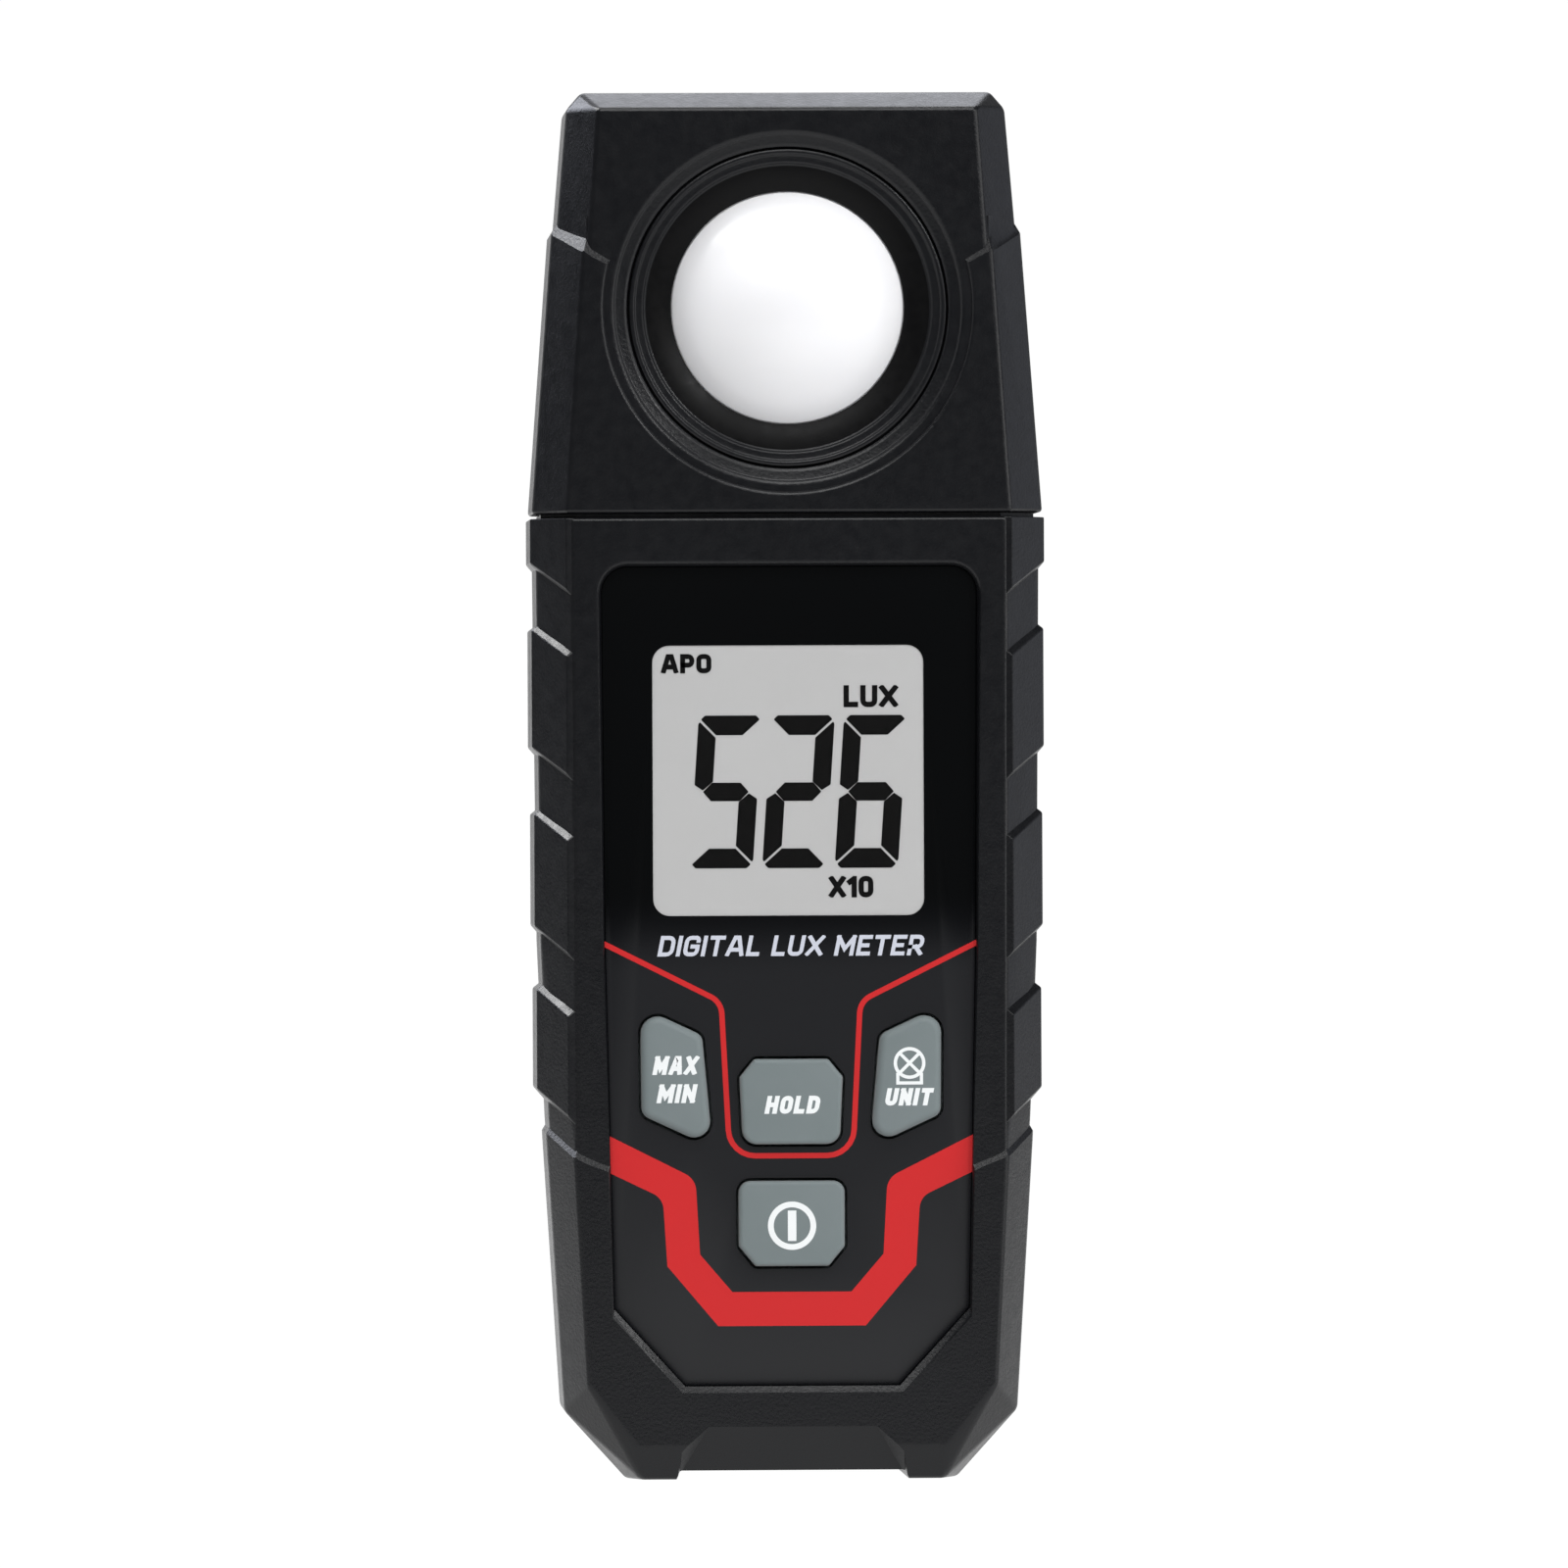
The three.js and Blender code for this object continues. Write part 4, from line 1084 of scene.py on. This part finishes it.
def cell(number):
    low, high = boxMm(f"battery_{number}")
    centre = (low + high) / 2
    up = number != 2
    base, sign = (low.z, 1) if up else (high.z, -1)
    profile = [(0, 0), (3.9, 0), (4.1, 0.25), (4.4, 0.25), (4.6, 0.05), (5.0, 0.05), (5.2, 0.3),
               (5.25, 0.8), (5.25, 42.4), (5.15, 42.8), (4.8, 42.95), (4.4, 42.9), (4.2, 42.75),
               (3.0, 42.8), (2.0, 42.95), (1.9, 43.2), (1.9, 44.3), (1.75, 44.5), (0, 44.5)]
    bm = turned([(r, base + sign * h) for r, h in profile], (0, 0, 1), (centre.x, centre.y, 0), 56)
    for face in bm.faces:
        middle = face.calc_center_median()
        height = (middle.z - base) * sign
        radius = math.hypot(middle.x - centre.x, middle.y - centre.y)
        if radius < 4.5:
            face.material_index = 2
        elif height > 34:
            face.material_index = 1
    finishPiece(bm, f"cell{number}", "meter_body", ["sleeve", "band", "nickel"],
                [f"battery_{number}"])


def spring(number):
    low, high = boxMm(f"battery_spring_{number}")
    centre = (low + high) / 2
    narrowAtTop = boxMm(f"battery_{number}")[0].z > low.z
    wide, narrow, wire, turns, axisY = 3.6, 2.4, 0.35, 3.5, 9.6
    curve = bpy.data.curves.new("spring", "CURVE")
    curve.dimensions = "3D"
    curve.bevel_depth = wire
    curve.bevel_resolution = 3
    curve.use_fill_caps = True
    count = 120
    line = curve.splines.new("POLY")
    line.points.add(count)
    for i, point in enumerate(line.points):
        t = i / count
        radius = wide + (narrow - wide) * t
        rising = t if narrowAtTop else 1 - t
        angle = t * turns * math.tau
        z = low.z + wire + (high.z - low.z - 2 * wire) * rising
        point.co = (centre.x + radius * math.cos(angle), axisY + radius * math.sin(angle), z, 1)
    holder = addObject("spring", curve)
    graph = bpy.context.evaluated_depsgraph_get()
    bm = bmesh.new()
    bm.from_mesh(holder.evaluated_get(graph).to_mesh())
    bpy.data.objects.remove(holder)
    finishPiece(tidy(bm), f"spring{number}", "meter_body", "nickel",
                [f"battery_spring_{number}"])


for number in (1, 2, 3):
    cell(number)
    spring(number)
print("cells done")


kept = {
    "abs": ["front_panel", "filter_holder"],
    "nylon": ["lcd_holder", "backlight_panel", "swivel_neck", "swivel_bush"],
    "rubber": ["zebra_strip", "friction_ring", "battery_lead_negative", "sensor_lead_body",
               "sensor_lead_head", "carbon_pill_max_min", "carbon_pill_hold", "carbon_pill_unit",
               "carbon_pill_power"],
    "board": ["main_pcb", "sensor_pcb"],
    "epoxy": ["meter_chip", "photodiode"],
    "nickel": ["crystal_can", "contact_plate_positive", "contact_bridge_top",
               "contact_bridge_bottom", "contact_plate_negative"],
    "silicone": ["keypad_mat"],
    "redVinyl": ["battery_lead_positive"],
    "filter": ["filter_glass"],
}
for look, names in kept.items():
    for name in names:
        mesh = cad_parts[name].data
        mesh.materials.clear()
        mesh.materials.append(looks[look])


sweepLook = {"front": -3, "bendStart": 2.2, "bend": 0.5, "top": 3.5, "half": 3}      # metres


def studioFloor():
    # a pale sweep: floor, bend and back wall
    w = sweepLook
    bm = bmesh.new()
    bend = [math.radians(angle) for angle in range(0, 91, 6)]
    profile = [(w["front"], 0)] + [(w["bendStart"] + w["bend"] * math.sin(a),
                                    w["bend"] - w["bend"] * math.cos(a)) for a in bend]
    profile.append((w["bendStart"] + w["bend"], w["top"]))
    verts = [bm.verts.new((-w["half"], y, z)) for y, z in profile]
    edges = [bm.edges.new(pair) for pair in zip(verts, verts[1:])]
    pushed = bmesh.ops.extrude_edge_only(bm, edges=edges)["geom"]
    bmesh.ops.translate(bm, vec=(2 * w["half"], 0, 0),
                        verts=[v for v in pushed if isinstance(v, bmesh.types.BMVert)])
    bmesh.ops.recalc_face_normals(bm, faces=bm.faces)
    mesh = meshFrom(bm, "studioSweep")
    mesh.shade_smooth()
    sweep = addObject("studioSweep", mesh)
    material, tree, shader = startMaterial("paperSweepPale", "303030", Roughness=0.9,
                                           Specular_IOR_Level=0.0)
    place = addNode(tree, "ShaderNodeSeparateXYZ", {"Vector": objectPlace(tree)}).outputs
    aside = addNode(tree, "ShaderNodeMath", {0: place["X"]}, operation="ABSOLUTE").outputs["Value"]
    sides = addNode(tree, "ShaderNodeMapRange",
                    {"Value": aside, "From Min": 0.36, "From Max": 0.7, "To Min": 1.0, "To Max": 0.3},
                    interpolation_type="SMOOTHSTEP").outputs["Result"]
    near = addNode(tree, "ShaderNodeMapRange",
                   {"Value": place["Y"], "From Min": -0.7, "From Max": -0.3, "To Min": 0.05,
                    "To Max": 1.0}, interpolation_type="SMOOTHSTEP").outputs["Result"]
    glow = addNode(tree, "ShaderNodeMath", {0: sides, 1: near}, operation="MULTIPLY")
    shader.inputs["Emission Color"].default_value = hexColour("ffffff")
    tree.links.new(glow.outputs["Value"], shader.inputs["Emission Strength"])
    mesh.materials.append(material)


def areaLight(name, place, target, size, power, colour):
    data = bpy.data.lights.new(name, "AREA")
    data.shape = "RECTANGLE"
    data.size, data.size_y = size
    data.energy = power
    data.color = hexColour(colour)[:3]
    lamp = addObject(name, data)
    lamp.location = place
    lamp.rotation_euler = (Vector(target) - Vector(place)).to_track_quat("-Z", "Y").to_euler()


view = {"turn": -2.2, "distance": 1.957, "lens": 400, "roll": -0.25, "aim": (-0.0002, 0, 0.0776)}


def studioCamera():
    data = bpy.data.cameras.new("camera")
    data.lens = view["lens"]
    data.sensor_width = 36
    data.clip_start = 0.05
    data.clip_end = 20
    camera = addObject("camera", data)
    turn = Matrix.Rotation(math.radians(view["turn"]), 4, "Z")
    level = Matrix.Rotation(math.pi / 2, 4, "X")
    roll = Matrix.Rotation(math.radians(view["roll"]), 4, "Z")
    back = Matrix.Translation((0, 0, view["distance"]))
    camera.matrix_world = Matrix.Translation(view["aim"]) @ turn @ level @ roll @ back
    bpy.context.scene.camera = camera


studioFloor()
studioCamera()
middle = (0, 0, 0.09)
white, cool = "ffffff", "eef2ff"
# each lamp: its place, what it points at, width and height, power, colour
lamps = {
    "overhead": ((-0.1, 0.17, 0.86), middle, (1.0, 0.22), 4.4, white),
    "upperLeft": ((-0.6, 0.15, 0.8), middle, (0.32, 0.26), 5.0, white),
    "frontTop": ((0.05, -0.36, 0.82), middle, (0.62, 0.18), 2.2, white),
    "backTop": ((0.02, 0.68, 0.68), middle, (0.55, 0.3), 1.0, cool),
    "backLeft": ((-0.62, 0.48, 0.56), middle, (0.4, 0.4), 3.6, cool),
    "rightSoftbox": ((0.62, -0.3, 0.22), middle, (0.4, 0.6), 1.8, white),
    "rightBackPanel": ((0.75, 0.33, 0.12), middle, (0.3, 0.8), 0.5, cool),
    "frontFill": ((-0.12, -0.72, 0.78), middle, (0.7, 0.34), 3.7, white),
    "windowGlint": ((0.38, -0.56, 0.42), (0, 0, 0.13), (0.13, 0.13), 1.1, white),
}
for name, lamp in lamps.items():
    areaLight(name, *lamp)

world = bpy.data.worlds.new("studio")
bpy.context.scene.world = world
world.use_nodes = True
sky = world.node_tree.nodes["Background"].inputs
sky["Color"].default_value = hexColour("ffffff")
sky["Strength"].default_value = 0.045
bpy.context.scene.view_settings.view_transform = "Standard"

print("scene ready")
